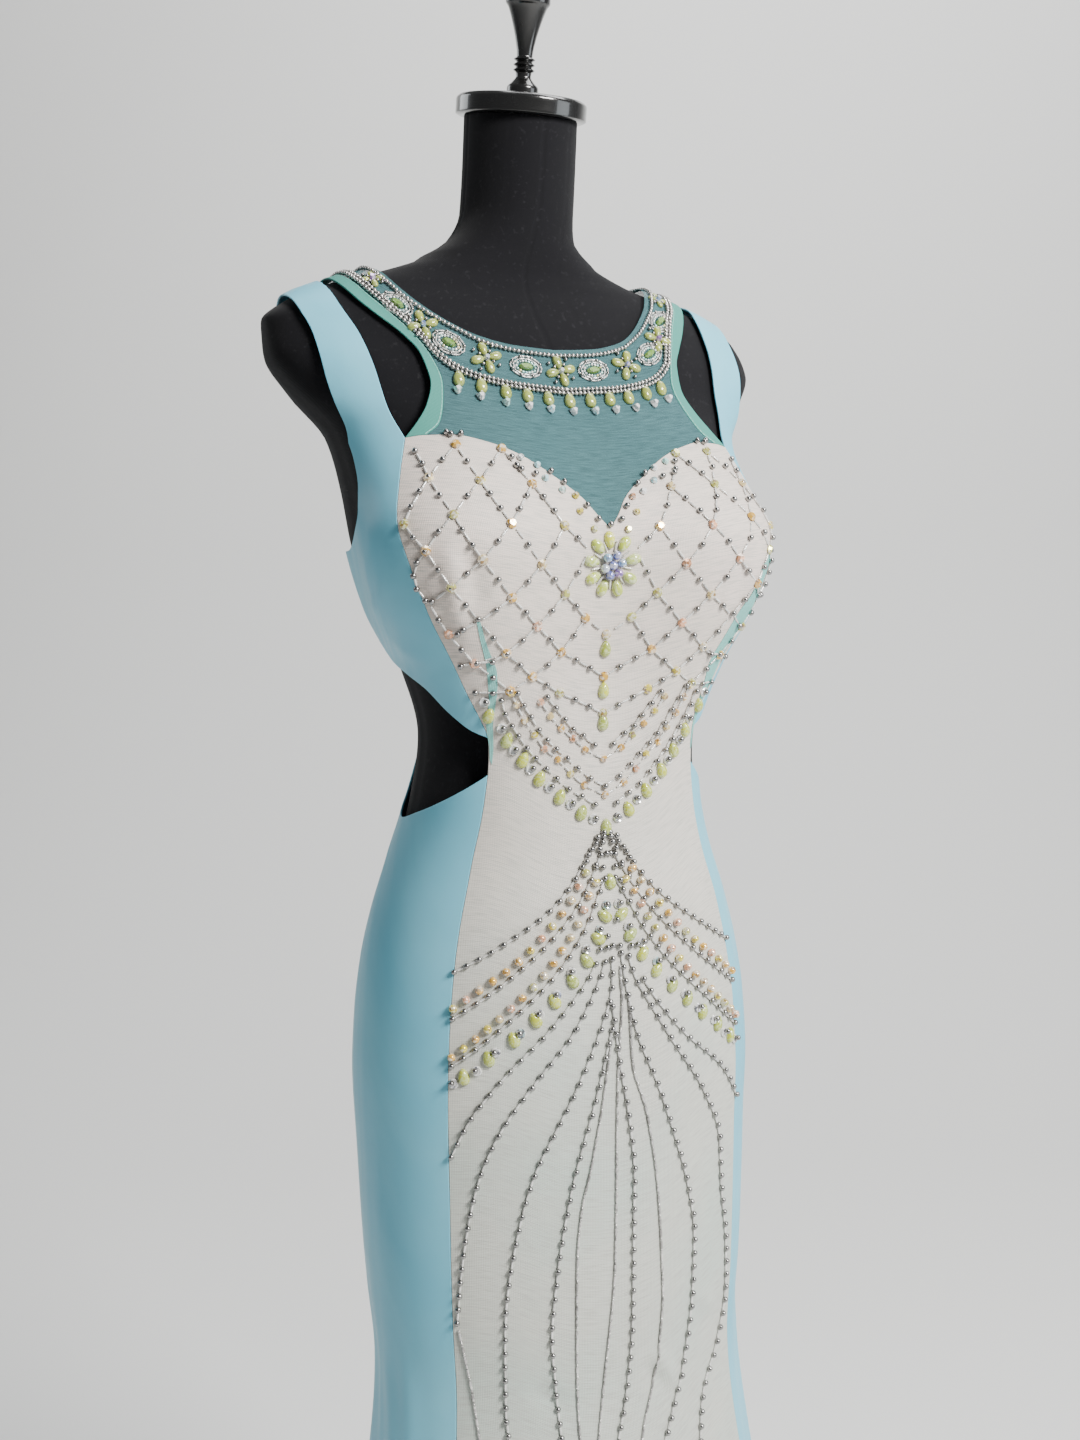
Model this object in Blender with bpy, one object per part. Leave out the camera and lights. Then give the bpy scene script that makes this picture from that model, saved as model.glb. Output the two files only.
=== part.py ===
"""Mermaid prom dress on a limbless dress form and its stand, at full size, in metres, +Z up.

The wearer's left is +X and the front is -Y. The stand's foot rests on z = 0.
Heights in the tables are measured from the waist line, down as negative numbers.
Every cloth piece is cut from one body surface, moved out and given a wall.
"""
import math

import bpy
import numpy as np
from mathutils.geometry import delaunay_2d_cdt

# Driving sizes
WAIST = 1.070           # waist line over the floor
EASE = 0.0009           # inner face of the cloth over the form
WALL = 0.0016           # cloth wall
FORM_IN = 0.0022        # the form's cover lies this far inside the body surface
SEAM = 0.0003           # gap left where two pieces meet
SHOULDER_Y = 0.045      # plane of the shoulder seams
JOIN_Z = 0.241          # where strap, cup and binding meet
BACK_TOP = 0.172        # top edge of the back band
BACK_WAIST = 0.100      # seam between back band and skirt back
HEM = -1.056
TORSO_FOOT = -0.340     # underside of the form
NECK_TOP = 0.503
NECK_TILT = math.radians(12)

# Body and skirt sections, one row for each height
# height, half width, front depth, back depth, centre y, squareness
SECTIONS = np.array((
    (-1.060, 0.376, 0.338, 0.410, 0.000, 2.00),
    (-0.950, 0.322, 0.290, 0.345, 0.000, 2.00),
    (-0.850, 0.268, 0.240, 0.280, 0.000, 2.00),
    (-0.750, 0.219, 0.190, 0.218, 0.001, 2.00),
    (-0.660, 0.183, 0.145, 0.165, 0.002, 2.05),
    (-0.580, 0.162, 0.113, 0.127, 0.003, 2.10),
    (-0.480, 0.153, 0.102, 0.112, 0.004, 2.15),
    (-0.420, 0.158, 0.104, 0.114, 0.004, 2.15),
    (-0.360, 0.161, 0.106, 0.117, 0.004, 2.15),
    (-0.300, 0.163, 0.108, 0.120, 0.004, 2.15),
    (-0.250, 0.165, 0.109, 0.122, 0.003, 2.15),
    (-0.200, 0.162, 0.109, 0.121, 0.003, 2.15),
    (-0.160, 0.156, 0.108, 0.117, 0.004, 2.15),
    (-0.120, 0.146, 0.106, 0.108, 0.005, 2.15),
    (-0.080, 0.133, 0.099, 0.096, 0.005, 2.15),
    (-0.030, 0.119, 0.090, 0.083, 0.000, 2.15),
    (0.020, 0.112, 0.086, 0.080, -0.002, 2.15),
    (0.070, 0.122, 0.094, 0.086, 0.003, 2.25),
    (0.120, 0.143, 0.108, 0.096, 0.008, 2.40),
    (0.170, 0.154, 0.118, 0.106, 0.012, 2.55),
    (0.210, 0.159, 0.104, 0.108, 0.015, 2.50),
    (0.250, 0.168, 0.083, 0.105, 0.018, 2.50),
    (0.280, 0.193, 0.070, 0.100, 0.020, 2.40),
    (0.310, 0.209, 0.062, 0.092, 0.022, 2.40),
    (0.335, 0.205, 0.054, 0.080, 0.024, 2.30),
    (0.352, 0.184, 0.048, 0.068, 0.026, 2.20),
    (0.366, 0.150, 0.044, 0.058, 0.028, 2.10),
    (0.378, 0.110, 0.043, 0.052, 0.029, 2.00),
    (0.392, 0.074, 0.044, 0.050, 0.029, 2.00),
    (0.408, 0.054, 0.046, 0.049, 0.029, 2.00),
    (0.430, 0.048, 0.047, 0.047, 0.028, 2.00),
    (0.510, 0.047, 0.047, 0.047, 0.022, 2.00),
))
# How far the upper body stands over to the wearer's right, by height
SWAY = np.array(((-1.100, 0.0), (0.150, 0.0), (0.200, -0.0012), (0.240, -0.0028), (0.290, -0.0080),
                 (0.320, -0.0125), (0.345, -0.0190), (0.370, -0.0210), (0.400, -0.0150),
                 (0.430, -0.0085), (0.520, -0.0050)))

# The two cups: centre height and angle, how far out, and how far they spread
CUP_Z = 0.150
CUP_ANGLE = math.radians(52)
CUP_OUT = 0.034
CUP_WIDE = math.radians(27)
CUP_UP = 0.088
CUP_DOWN = 0.125

# Soft waves of the mermaid hem
WAVES = 9
WAVE_OUT = 0.022
WAVE_START = -0.600

# Seam and edge curves, as angle from the front in degrees and height
CUP_SEAM = ((50.0, 0.022), (53.3, 0.058), (54.7, 0.095), (56.5, 0.150), (59.0, 0.181), (62.5, JOIN_Z))
SWEETHEART = ((62.5, JOIN_Z), (57.5, 0.2425), (51.0, 0.2425), (41.0, 0.237), (31.5, 0.2285),
              (20.4, 0.214), (9.0, 0.196), (4.0, 0.185), (0.0, 0.177))
SKIRT_SEAM = ((51.0, -0.006), (53.5, -0.050), (55.5, -0.100), (57.5, -0.160), (58.5, -0.220),
              (59.2, -0.320), (60.0, -0.400), (60.5, -0.500), (60.0, -0.700), (60.0, HEM))
CUTOUT_LOW = ((51.0, -0.006), (58.0, -0.015), (68.0, -0.026), (81.0, -0.037), (96.0, -0.045),
              (108.0, -0.032), (118.0, 0.008), (130.0, 0.052), (148.0, BACK_WAIST))
CUTOUT_HIGH = ((50.0, 0.022), (56.0, 0.028), (63.0, 0.042), (70.0, 0.060), (80.0, 0.070),
               (92.0, 0.078), (102.0, 0.096), (112.0, 0.111), (128.0, 0.112), (148.0, BACK_WAIST))
BACK_EDGE = ((118.0, 0.168), (123.0, BACK_TOP), (132.0, BACK_TOP), (140.0, BACK_TOP),
             (148.0, BACK_TOP), (164.0, BACK_TOP), (180.0, BACK_TOP))
SIDE_BACK_SEAM = ((118.0, 0.168), (118.0, 0.1115))
SKIRT_BACK_ANGLE = 130.0
BACK_SKIRT_TOP = 0.052

# Edge curves over the shoulder, as rough points without the sway, then settled on the body: x, y, z
STRAP_INNER = ((0.1415, -0.040, 0.2655), (0.1445, -0.032, 0.295), (0.149, -0.0215, 0.322),
               (0.1535, -0.003, 0.347), (0.154, SHOULDER_Y, 0.362), (0.150, 0.076, 0.345),
               (0.139, 0.100, 0.300), (0.120, 0.112, 0.240))
STRAP_OUTER = ((0.171, -0.0175, 0.262), (0.1785, -0.0185, 0.292), (0.1805, -0.0115, 0.322),
               (0.181, 0.008, 0.343), (0.1815, SHOULDER_Y, 0.350), (0.180, 0.075, 0.328),
               (0.170, 0.094, 0.275), (0.152, 0.100, 0.222))
UNDERARM = ((78.8, JOIN_Z), (77.0, 0.226), (75.5, 0.208), (75.5, 0.190), (81.0, 0.1736),
            (95.0, 0.1640), (106.0, 0.1640), (118.0, 0.168))
ARMHOLE = ((0.124, -0.052, 0.254), (0.114, -0.049, 0.268), (0.107, -0.0435, 0.287),
           (0.1095, -0.0375, 0.306), (0.118, -0.030, 0.320), (0.130, -0.021, 0.334),
           (0.1395, -0.010, 0.346), (0.146, 0.016, 0.357), (0.149, SHOULDER_Y, 0.364))
BINDING_INNER = ((0.112, -0.060, 0.250), (0.102, -0.052, 0.270), (0.098, -0.0455, 0.288),
                 (0.1015, -0.0385, 0.304), (0.109, -0.031, 0.320), (0.120, -0.021, 0.337),
                 (0.130, -0.009, 0.350), (0.137, 0.016, 0.361), (0.140, SHOULDER_Y, 0.367))
COLLAR_CORNER = 3       # the collar's lower edge meets the binding at this row
COLLAR_LOW = ((0.1015, -0.0385, 0.304), (0.088, -0.0455, 0.2925), (0.068, -0.051, 0.2845),
              (0.040, -0.0545, 0.2795), (0.000, -0.0553, 0.2768))
COLLAR_HIGH = ((0.114, SHOULDER_Y, 0.374), (0.1125, 0.018, 0.368), (0.104, -0.006, 0.3545),
               (0.084, -0.026, 0.3355), (0.060, -0.0355, 0.3215), (0.032, -0.0395, 0.3152),
               (0.000, -0.0403, 0.3131))
COLLAR_BACK_HIGH = ((0.114, SHOULDER_Y, 0.374), (0.104, 0.068, 0.364), (0.082, 0.088, 0.352),
                    (0.050, 0.100, 0.344), (0.001, 0.104, 0.340))
COLLAR_BACK_LOW = ((0.149, SHOULDER_Y, 0.364), (0.138, 0.078, 0.351), (0.109, 0.104, 0.326),
                   (0.064, 0.119, 0.302), (0.001, 0.124, 0.292))

# Heights of the inner points of a piece
LEVELS = (-0.985, -0.91, -0.83, -0.75, -0.675, -0.61, -0.55, -0.49, -0.43, -0.38, -0.34, -0.305, -0.27,
          -0.235, -0.20, -0.165, -0.13, -0.095, -0.06, -0.025, 0.01, 0.04, 0.07, 0.095, 0.12, 0.14, 0.16,
          0.18, 0.20, 0.22, 0.24, 0.26, 0.28, 0.296, 0.312, 0.327, 0.340, 0.350, 0.358, 0.365, 0.371)
COLUMN_STEP = 9.0       # degrees between the inner points of a level
HEM_STEP = 5.0          # the same below the point where the hem's waves start

# Stones: length, width and height
LIME_DROP = (0.0130, 0.0088, 0.0040)
ROUND_STONE = (0.0062, 0.0062, 0.0030)
PETAL = (0.0106, 0.0080, 0.0036)
PETAL_OUT = 0.0071       # middle of a petal from the middle of its flower
LONG_STONE = (0.0120, 0.0075, 0.0034)
BROOCH_PETAL = (0.0136, 0.0082, 0.0042)
BROOCH_MIDDLE = (0.0200, 0.0200, 0.0050)
BROOCH_Z = 0.1480        # height of the brooch's middle
BROOCH_RADIUS = 0.0264
BROOCH_PETALS = 9
BROOCH_PETAL_OUT = 0.0180
BROOCH_START = -0.09     # turn of the first petal from straight up
BROOCH_SIDES = 20

# Where the stones lie: degrees from the front and height, on both sides
POINT_DROPS = ((48.2, 0.0395), (43.5, 0.0205), (38.0, 0.0052), (31.4, -0.0095), (22.6, -0.0240),
               (12.4, -0.0370))
POINT_ROUNDS = ((44.8, 0.0297), (41.2, 0.0130), (35.0, -0.0020), (27.3, -0.0165), (17.6, -0.0300),
                (6.5, -0.0425))
SWEEP_DROPS = ((3.9, -0.1150), (7.3, -0.1310), (12.6, -0.1466), (18.6, -0.1605), (25.6, -0.1745),
               (32.4, -0.1875), (39.6, -0.2010), (47.2, -0.2145), (54.2, -0.2280))
CENTRE_DROPS = (0.0860, 0.0545, 0.0300, -0.0490, -0.0905)
HANGING_DROPS = ((0.0, 0.2680), (13.8, 0.2690), (25.6, 0.2705), (35.7, 0.2728), (45.0, 0.2768),
                 (52.2, 0.2815))
# The last column is the scale of the flower
COLLAR_FLOWERS = ((0.0, 0.2956, 1.0), (43.0, 0.3030, 1.0), (61.0, 0.3262, 0.74))
COLLAR_LONG_STONES = ((23.6, 0.2976), (53.5, 0.3120), (68.2, 0.3425))

MATERIALS = {
    # colour, roughness, metallic
    "satin": ((0.38, 0.62, 0.68), 0.42, 0.0),
    "mesh_yoke": ((0.13, 0.25, 0.27), 0.75, 0.0),
    "binding": ((0.28, 0.56, 0.52), 0.60, 0.0),
    "cream_net": ((0.62, 0.58, 0.53), 0.70, 0.0),
    "beadwork": ((0.52, 0.56, 0.42), 0.35, 0.1),
    "lime_stone": ((0.52, 0.62, 0.12), 0.20, 0.0),
    "black_cover": ((0.012, 0.012, 0.014), 0.80, 0.0),
    "black_lacquer": ((0.010, 0.010, 0.011), 0.18, 0.0),
    "black_metal": ((0.015, 0.015, 0.017), 0.35, 0.6),
}


# Body surface

def follow(xs, ys, x):
    """Smooth curve through (xs, ys) that never overshoots its rows."""
    step = np.diff(xs)
    slope = np.diff(ys) / step
    tangent = np.zeros(len(xs))
    for i in range(1, len(xs) - 1):
        if slope[i - 1] * slope[i] > 0:
            near = 2 * step[i] + step[i - 1]
            far = step[i] + 2 * step[i - 1]
            tangent[i] = (near + far) / (near / slope[i - 1] + far / slope[i])
    tangent[0] = slope[0]
    tangent[-1] = slope[-1]
    x = np.clip(x, xs[0], xs[-1])
    i = np.clip(np.searchsorted(xs, x) - 1, 0, len(xs) - 2)
    t = (x - xs[i]) / step[i]
    return ((1 + 2 * t) * (1 - t) ** 2 * ys[i] + t * (1 - t) ** 2 * step[i] * tangent[i]
            + t * t * (3 - 2 * t) * ys[i + 1] + t * t * (t - 1) * step[i] * tangent[i + 1])


def section(z):
    return [follow(SECTIONS[:, 0], SECTIONS[:, column], z) for column in range(1, 6)]


def sway(z):
    return follow(SWAY[:, 0], SWAY[:, 1], z)


def reach(angle, z):
    """Distance of the surface from the section's centre; angle 0 is the front."""
    wide, front, back, _, square = section(z)
    deep = np.where(np.cos(angle) > 0, front, back)
    across = (np.abs(np.sin(angle)) / wide) ** square
    along = (np.abs(np.cos(angle)) / deep) ** square
    plain = (across + along) ** (-1 / square)
    off_angle = (np.abs(angle) - CUP_ANGLE) / CUP_WIDE
    off_height = (z - CUP_Z) / np.where(z > CUP_Z, CUP_UP, CUP_DOWN)
    cup = CUP_OUT * np.exp(-off_angle ** 2 - off_height ** 2)
    low = np.clip((WAVE_START - z) / (WAVE_START - HEM), 0, 1) ** 1.5
    wave = WAVE_OUT * low * (np.cos(WAVES * angle) + 0.35 * np.cos(4 * angle))
    return plain + cup + wave


def body(angle, z):
    """Points of the body surface, heights from the waist."""
    angle = np.asarray(angle, float)
    z = np.asarray(z, float)
    radius = reach(angle, z)
    x = radius * np.sin(angle) + sway(z)
    return np.stack([x, section(z)[3] - radius * np.cos(angle), z], -1)


def polar(points):
    """Angle, height and the signed distance outside the surface of some points."""
    z = points[..., 2]
    x = points[..., 0] - sway(z)
    y = points[..., 1] - section(z)[3]
    angle = np.arctan2(x, -y)
    return angle, z, np.hypot(x, y) - reach(angle, z)


def slope_out(points):
    """Gradient of the signed distance, pointing away from the body."""
    step = 0.0005
    columns = []
    for axis in np.eye(3) * step:
        columns.append((polar(points + axis)[2] - polar(points - axis)[2]) / (2 * step))
    return np.stack(columns, -1)


def settle(points):
    """Move rough points along the slope until they lie on the body surface."""
    points = np.array(points, float)
    for _ in range(12):
        slope = slope_out(points)
        points -= polar(points)[2][..., None] * slope / (slope ** 2).sum(-1)[..., None]
    return points


def outward(points):
    slope = slope_out(points)
    return slope / np.linalg.norm(slope, axis=-1)[..., None]


# Edge curves, all on the +X side, as rows of angle and height

def by_angle(table, pieces=3):
    """Smooth curve through rows of degrees and height."""
    table = np.array(table, float)
    rows = np.arange(len(table))
    fine = np.linspace(0, len(table) - 1, (len(table) - 1) * pieces + 1)
    angle = follow(rows, np.radians(table[:, 0]), fine)
    return np.stack([angle, follow(rows, table[:, 1], fine)], -1)


def by_point(table, pieces=2):
    """Smooth curve through rough points, settled on the body."""
    table = np.array(table, float)
    rows = np.arange(len(table))
    fine = np.linspace(0, len(table) - 1, (len(table) - 1) * pieces + 1)
    points = np.stack([follow(rows, table[:, k], fine) for k in range(3)], -1)
    on_middle = points[:, 0] == 0
    points[:, 0] += sway(points[:, 2])
    angle, z, _ = polar(settle(points))
    angle[on_middle] = 0
    return np.stack([angle, z], -1)


def rough(angle, z):
    """A rough point of the body without its sway, as the tables give them."""
    x, y, _ = body(angle, z)
    return x - sway(z), y, z


def mirrored(curve):
    return curve * np.array((-1, 1))


def chain(*curves):
    """One closed outline from curves laid end to end, each shared point once."""
    rows = []
    for curve in curves:
        for row in curve:
            if not rows or np.hypot(*(row - rows[-1])) > 1e-6:
                rows.append(row)
    if np.hypot(*(rows[0] - rows[-1])) < 1e-6:
        rows.pop()
    return np.array(rows)


def flat_place(curve):
    """Where angle and height lie on the flat pattern that is divided into triangles."""
    angle = curve[..., 0]
    z = curve[..., 1]
    share = np.linspace(0, 1, 40)
    heights = 0.40 + (z[..., None] - 0.40) * share
    radius = reach(angle[..., None] + 0 * heights, heights)
    length = np.hypot(np.diff(radius, axis=-1), np.diff(heights, axis=-1)).sum(-1)
    return np.stack([angle * 0.15, -length], -1)


# Building closed pieces

def material(name):
    made = bpy.data.materials.get(name)
    if made is None:
        made = bpy.data.materials.new(name)
        made.use_nodes = True
        shader = made.node_tree.nodes["Principled BSDF"]
        colour, rough, metal = MATERIALS[name]
        shader.inputs["Base Color"].default_value = (*colour, 1)
        shader.inputs["Roughness"].default_value = rough
        shader.inputs["Metallic"].default_value = metal
    return made


def add_object(name, points, faces, finish):
    mesh = bpy.data.meshes.new(name)
    mesh.from_pydata([tuple(p) for p in points], [], [tuple(f) for f in faces])
    mesh.validate()
    mesh.shade_smooth()
    mesh.set_sharp_from_angle(angle=math.radians(40))
    mesh.materials.append(material(finish))
    made = bpy.data.objects.new(name, mesh)
    bpy.context.scene.collection.objects.link(made)
    return made


def inside(outline, places):
    """Which places lie inside a closed outline."""
    hits = np.zeros(len(places), int)
    for a, b in zip(outline, np.roll(outline, -1, axis=0)):
        crosses = (a[1] > places[:, 1]) != (b[1] > places[:, 1])
        rise = np.where(crosses, b[1] - a[1], 1)
        hits += crosses & (places[:, 0] < a[0] + (places[:, 1] - a[1]) * (b[0] - a[0]) / rise)
    return hits % 2 == 1


def gap_to(outline, places):
    """Distance from each place to the nearest side of an outline."""
    nearest = np.full(len(places), 1e9)
    for a, b in zip(outline, np.roll(outline, -1, axis=0)):
        along = b - a
        share = np.clip(((places - a) @ along) / (along @ along), 0, 1)
        nearest = np.minimum(nearest, np.linalg.norm(places - a - share[:, None] * along, axis=1))
    return nearest


def fill_points(outline, clear):
    """Inner points of a piece, on the fixed levels, clear of its outline."""
    low, high = outline[:, 0].min(), outline[:, 0].max()
    places = []
    for level, z in enumerate(LEVELS):
        in_waves = z < WAVE_START
        step = HEM_STEP if in_waves else COLUMN_STEP
        shift = 0 if in_waves else 0.5 * COLUMN_STEP * (level % 2)
        for degrees in np.arange(-180 + shift, 181, step):
            angle = math.radians(degrees)
            if low < angle < high:
                places.append((angle, z))
    places = np.array(places)
    pattern = flat_place(outline)
    spots = flat_place(places)
    keep = inside(pattern, spots) & (gap_to(pattern, spots) > clear)
    return places[keep]


def divide(outline, inner, loops=()):
    """Triangles of a pattern from its outline, inner points and closed stone loops."""
    rows = [outline, inner, *loops]
    places = np.concatenate([r for r in rows if len(r)])
    spots = flat_place(places)
    count = len(outline)
    edges = []
    start = count + len(inner)
    for loop in loops:
        edges += [(start + i, start + (i + 1) % len(loop)) for i in range(len(loop))]
        start += len(loop)
    ring = [list(range(count))]
    if np.cross(spots[:count], np.roll(spots[:count], -1, axis=0)).sum() < 0:
        ring = [list(range(count))[::-1]]
    found = delaunay_2d_cdt([tuple(s) for s in spots], edges, ring, 1, 1e-7)
    number = [origin[0] if origin else None for origin in found[3]]
    if len(found[0]) != len(places) or None in number:
        raise ValueError("pattern lines cross")
    return places, [tuple(number[i] for i in face) for face in found[2]]


def trimmed(points, away):
    """Boundary points moved inwards in the surface by half a seam gap."""
    before = points - np.roll(points, 1, axis=0)
    after = np.roll(points, -1, axis=0) - points
    before /= np.linalg.norm(before, axis=1)[:, None]
    after /= np.linalg.norm(after, axis=1)[:, None]
    along = before + after
    square = np.clip(np.linalg.norm(along, axis=1) / 2, 0.25, 1)
    along /= np.linalg.norm(along, axis=1)[:, None]
    return points + np.cross(away, along) * (0.5 * SEAM / square)[:, None]


def cloth(name, outline, finish, lift=EASE, wall=WALL, stones=(), clear=0.012, inner=None):
    """A piece of cloth with its true outline, a plain inside and raised stones outside."""
    pattern = flat_place(outline)
    if np.cross(pattern, np.roll(pattern, -1, axis=0)).sum() < 0:
        outline = outline[::-1]
    if inner is None:
        inner = fill_points(outline, clear)
    bases = [stone[0] for stone in stones]
    crowns = [stone[1] for stone in stones]
    keep = np.ones(len(inner), bool)
    for base in bases:
        ring = flat_place(base)
        spots = flat_place(inner)
        keep &= ~inside(ring, spots) & (gap_to(ring, spots) > 0.004)
    outer_inner = inner[keep]
    count = len(outline)
    edge = body(outline[:, 0], outline[:, 1])
    edge = trimmed(edge, outward(edge))
    tops = [stone[2] for stone in stones]
    loops = []
    for base, crown, top in zip(bases, crowns, tops):
        loops += [base, crown]
    tips = [top[None, :2] for top in tops]
    places, faces = divide(outline, np.concatenate([outer_inner] + tips), loops)
    rise = np.zeros(len(places))
    rise[count + len(outer_inner):count + len(outer_inner) + len(tops)] = [top[2] for top in tops]
    start = count + len(outer_inner) + len(tops)
    for base, crown, top in zip(bases, crowns, tops):
        start += len(base)
        rise[start:start + len(crown)] = 0.72 * top[2]
        start += len(crown)
    outer = body(places[:, 0], places[:, 1])
    outer[:count] = edge
    outer = outer + outward(outer) * (lift + wall + rise)[:, None]
    places, under = divide(outline, inner)
    lower = body(places[:, 0], places[:, 1])
    lower[:count] = edge
    lower = lower + outward(lower) * lift
    first = len(outer)
    sides = [(i, i + first, (i + 1) % count + first, (i + 1) % count) for i in range(count)]
    faces = faces + [tuple(first + i for i in reversed(face)) for face in under]
    across = (np.cross(outer[faces[0][1]] - outer[faces[0][0]], outer[faces[0][2]] - outer[faces[0][0]])
              * outward(outer[faces[0][0]][None])[0]).sum()
    if across < 0:
        faces = [face[::-1] for face in faces]
    forward = any(face[i] == 0 and face[(i + 1) % 3] == 1 for face in faces for i in range(3))
    faces += sides if forward else [side[::-1] for side in sides]
    points = np.concatenate([outer, lower]) + np.array((0, 0, WAIST))
    return add_object(name, points, faces, finish)


def stone(angle, z, turn, sizes, kind="drop"):
    """Base loop, crown loop and top of one stone; turn 0 points its narrow end up."""
    length, width, height = sizes
    place = body(np.array([angle]), np.array([z]))
    away = outward(place)[0]
    side = np.cross((0, 0, 1), away)
    side /= np.linalg.norm(side)
    up = np.cross(away, side)
    count = 8
    loops = []
    for share in (1.0, 0.6):
        loop = []
        for i in range(count):
            round_angle = 2 * math.pi * (i + 0.5 * (kind == "box")) / count
            if kind == "drop":
                wide = 0.5 * width * math.sin(round_angle) * (1 - 0.35 * math.cos(round_angle))
            else:
                wide = 0.5 * width * math.sin(round_angle)
            tall = 0.5 * length * math.cos(round_angle)
            loop.append((share * wide, share * tall))
        loops.append(loop)
    found = []
    for loop in loops:
        points = []
        for wide, tall in loop:
            across = wide * math.cos(turn) + tall * math.sin(turn)
            along = tall * math.cos(turn) - wide * math.sin(turn)
            points.append(place[0] + side * across + up * along)
        bearing, height_up, _ = polar(settle(np.array(points)))
        found.append(np.stack([bearing, height_up], -1))
    return found[0], found[1], np.array((angle, z, height))


def ring_loft(name, rings, finish):
    """A closed solid through rings of points, listed from the bottom up."""
    count = len(rings[0])
    points = np.concatenate(rings)
    faces = []
    for row in range(len(rings) - 1):
        for i in range(count):
            j = (i + 1) % count
            faces.append((row * count + i, row * count + j, (row + 1) * count + j, (row + 1) * count + i))
    faces.append(tuple(reversed(range(count))))
    faces.append(tuple(range((len(rings) - 1) * count, len(rings) * count)))
    return add_object(name, points, faces, finish)


def turned(name, profile, finish, centre=(0.0, 0.0), tilt=0.0, base=0.0, sides=24):
    """A solid turned about an upright axis, from rows of height and radius, leaned forward by tilt."""
    rings = []
    for height, radius in profile:
        ring = []
        for i in range(sides):
            angle = 2 * math.pi * i / sides
            x = radius * math.cos(angle)
            y = radius * math.sin(angle)
            ring.append((x + centre[0],
                         y * math.cos(tilt) - height * math.sin(tilt) + centre[1],
                         y * math.sin(tilt) + height * math.cos(tilt) + base))
        rings.append(np.array(ring))
    return ring_loft(name, rings, finish)


# Shared edge curves

def upright(degrees, top):
    """A seam that runs straight down from a height to the hem, with a point at each level."""
    heights = [top] + [z for z in reversed(LEVELS) if z < top - 0.01] + [HEM]
    return np.array([(math.radians(degrees), z) for z in heights])


cup_seam = by_angle(CUP_SEAM)
sweetheart = by_angle(SWEETHEART)
skirt_seam = by_angle(SKIRT_SEAM)
cutout_low = by_angle(CUTOUT_LOW)
cutout_high = by_angle(CUTOUT_HIGH)
back_edge = by_angle(BACK_EDGE, 2)
side_back_seam = by_angle(SIDE_BACK_SEAM)
back_skirt_seam = upright(SKIRT_BACK_ANGLE, BACK_SKIRT_TOP)
underarm = by_angle(UNDERARM, 2)
binding_foot = sweetheart[3]
strap_inner = by_point((rough(*cup_seam[-1]), *STRAP_INNER, rough(math.radians(148), BACK_TOP)), 3)
strap_outer = by_point((rough(*underarm[0]), *STRAP_OUTER, rough(math.radians(123), BACK_TOP)), 3)
armhole = by_point((rough(*cup_seam[-1]), *ARMHOLE))
binding_inner = by_point((rough(*binding_foot), *BINDING_INNER))
collar_low = by_point(COLLAR_LOW)
collar_high = by_point(COLLAR_HIGH)
collar_back_high = by_point(COLLAR_BACK_HIGH)
collar_back_low = by_point(COLLAR_BACK_LOW)
corner = 2 * (COLLAR_CORNER + 1)


def between(curve, low, high):
    """The rows of a curve whose angle lies between two angles in degrees."""
    degrees = np.degrees(curve[:, 0])
    return curve[(degrees > low - 0.01) & (degrees < high + 0.01)]


def hem_line(start, end):
    count = int(round(abs(end - start) / HEM_STEP)) + 1
    angles = np.radians(np.linspace(start, end, count))
    return np.stack([angles, np.full(count, HEM)], -1)


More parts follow.
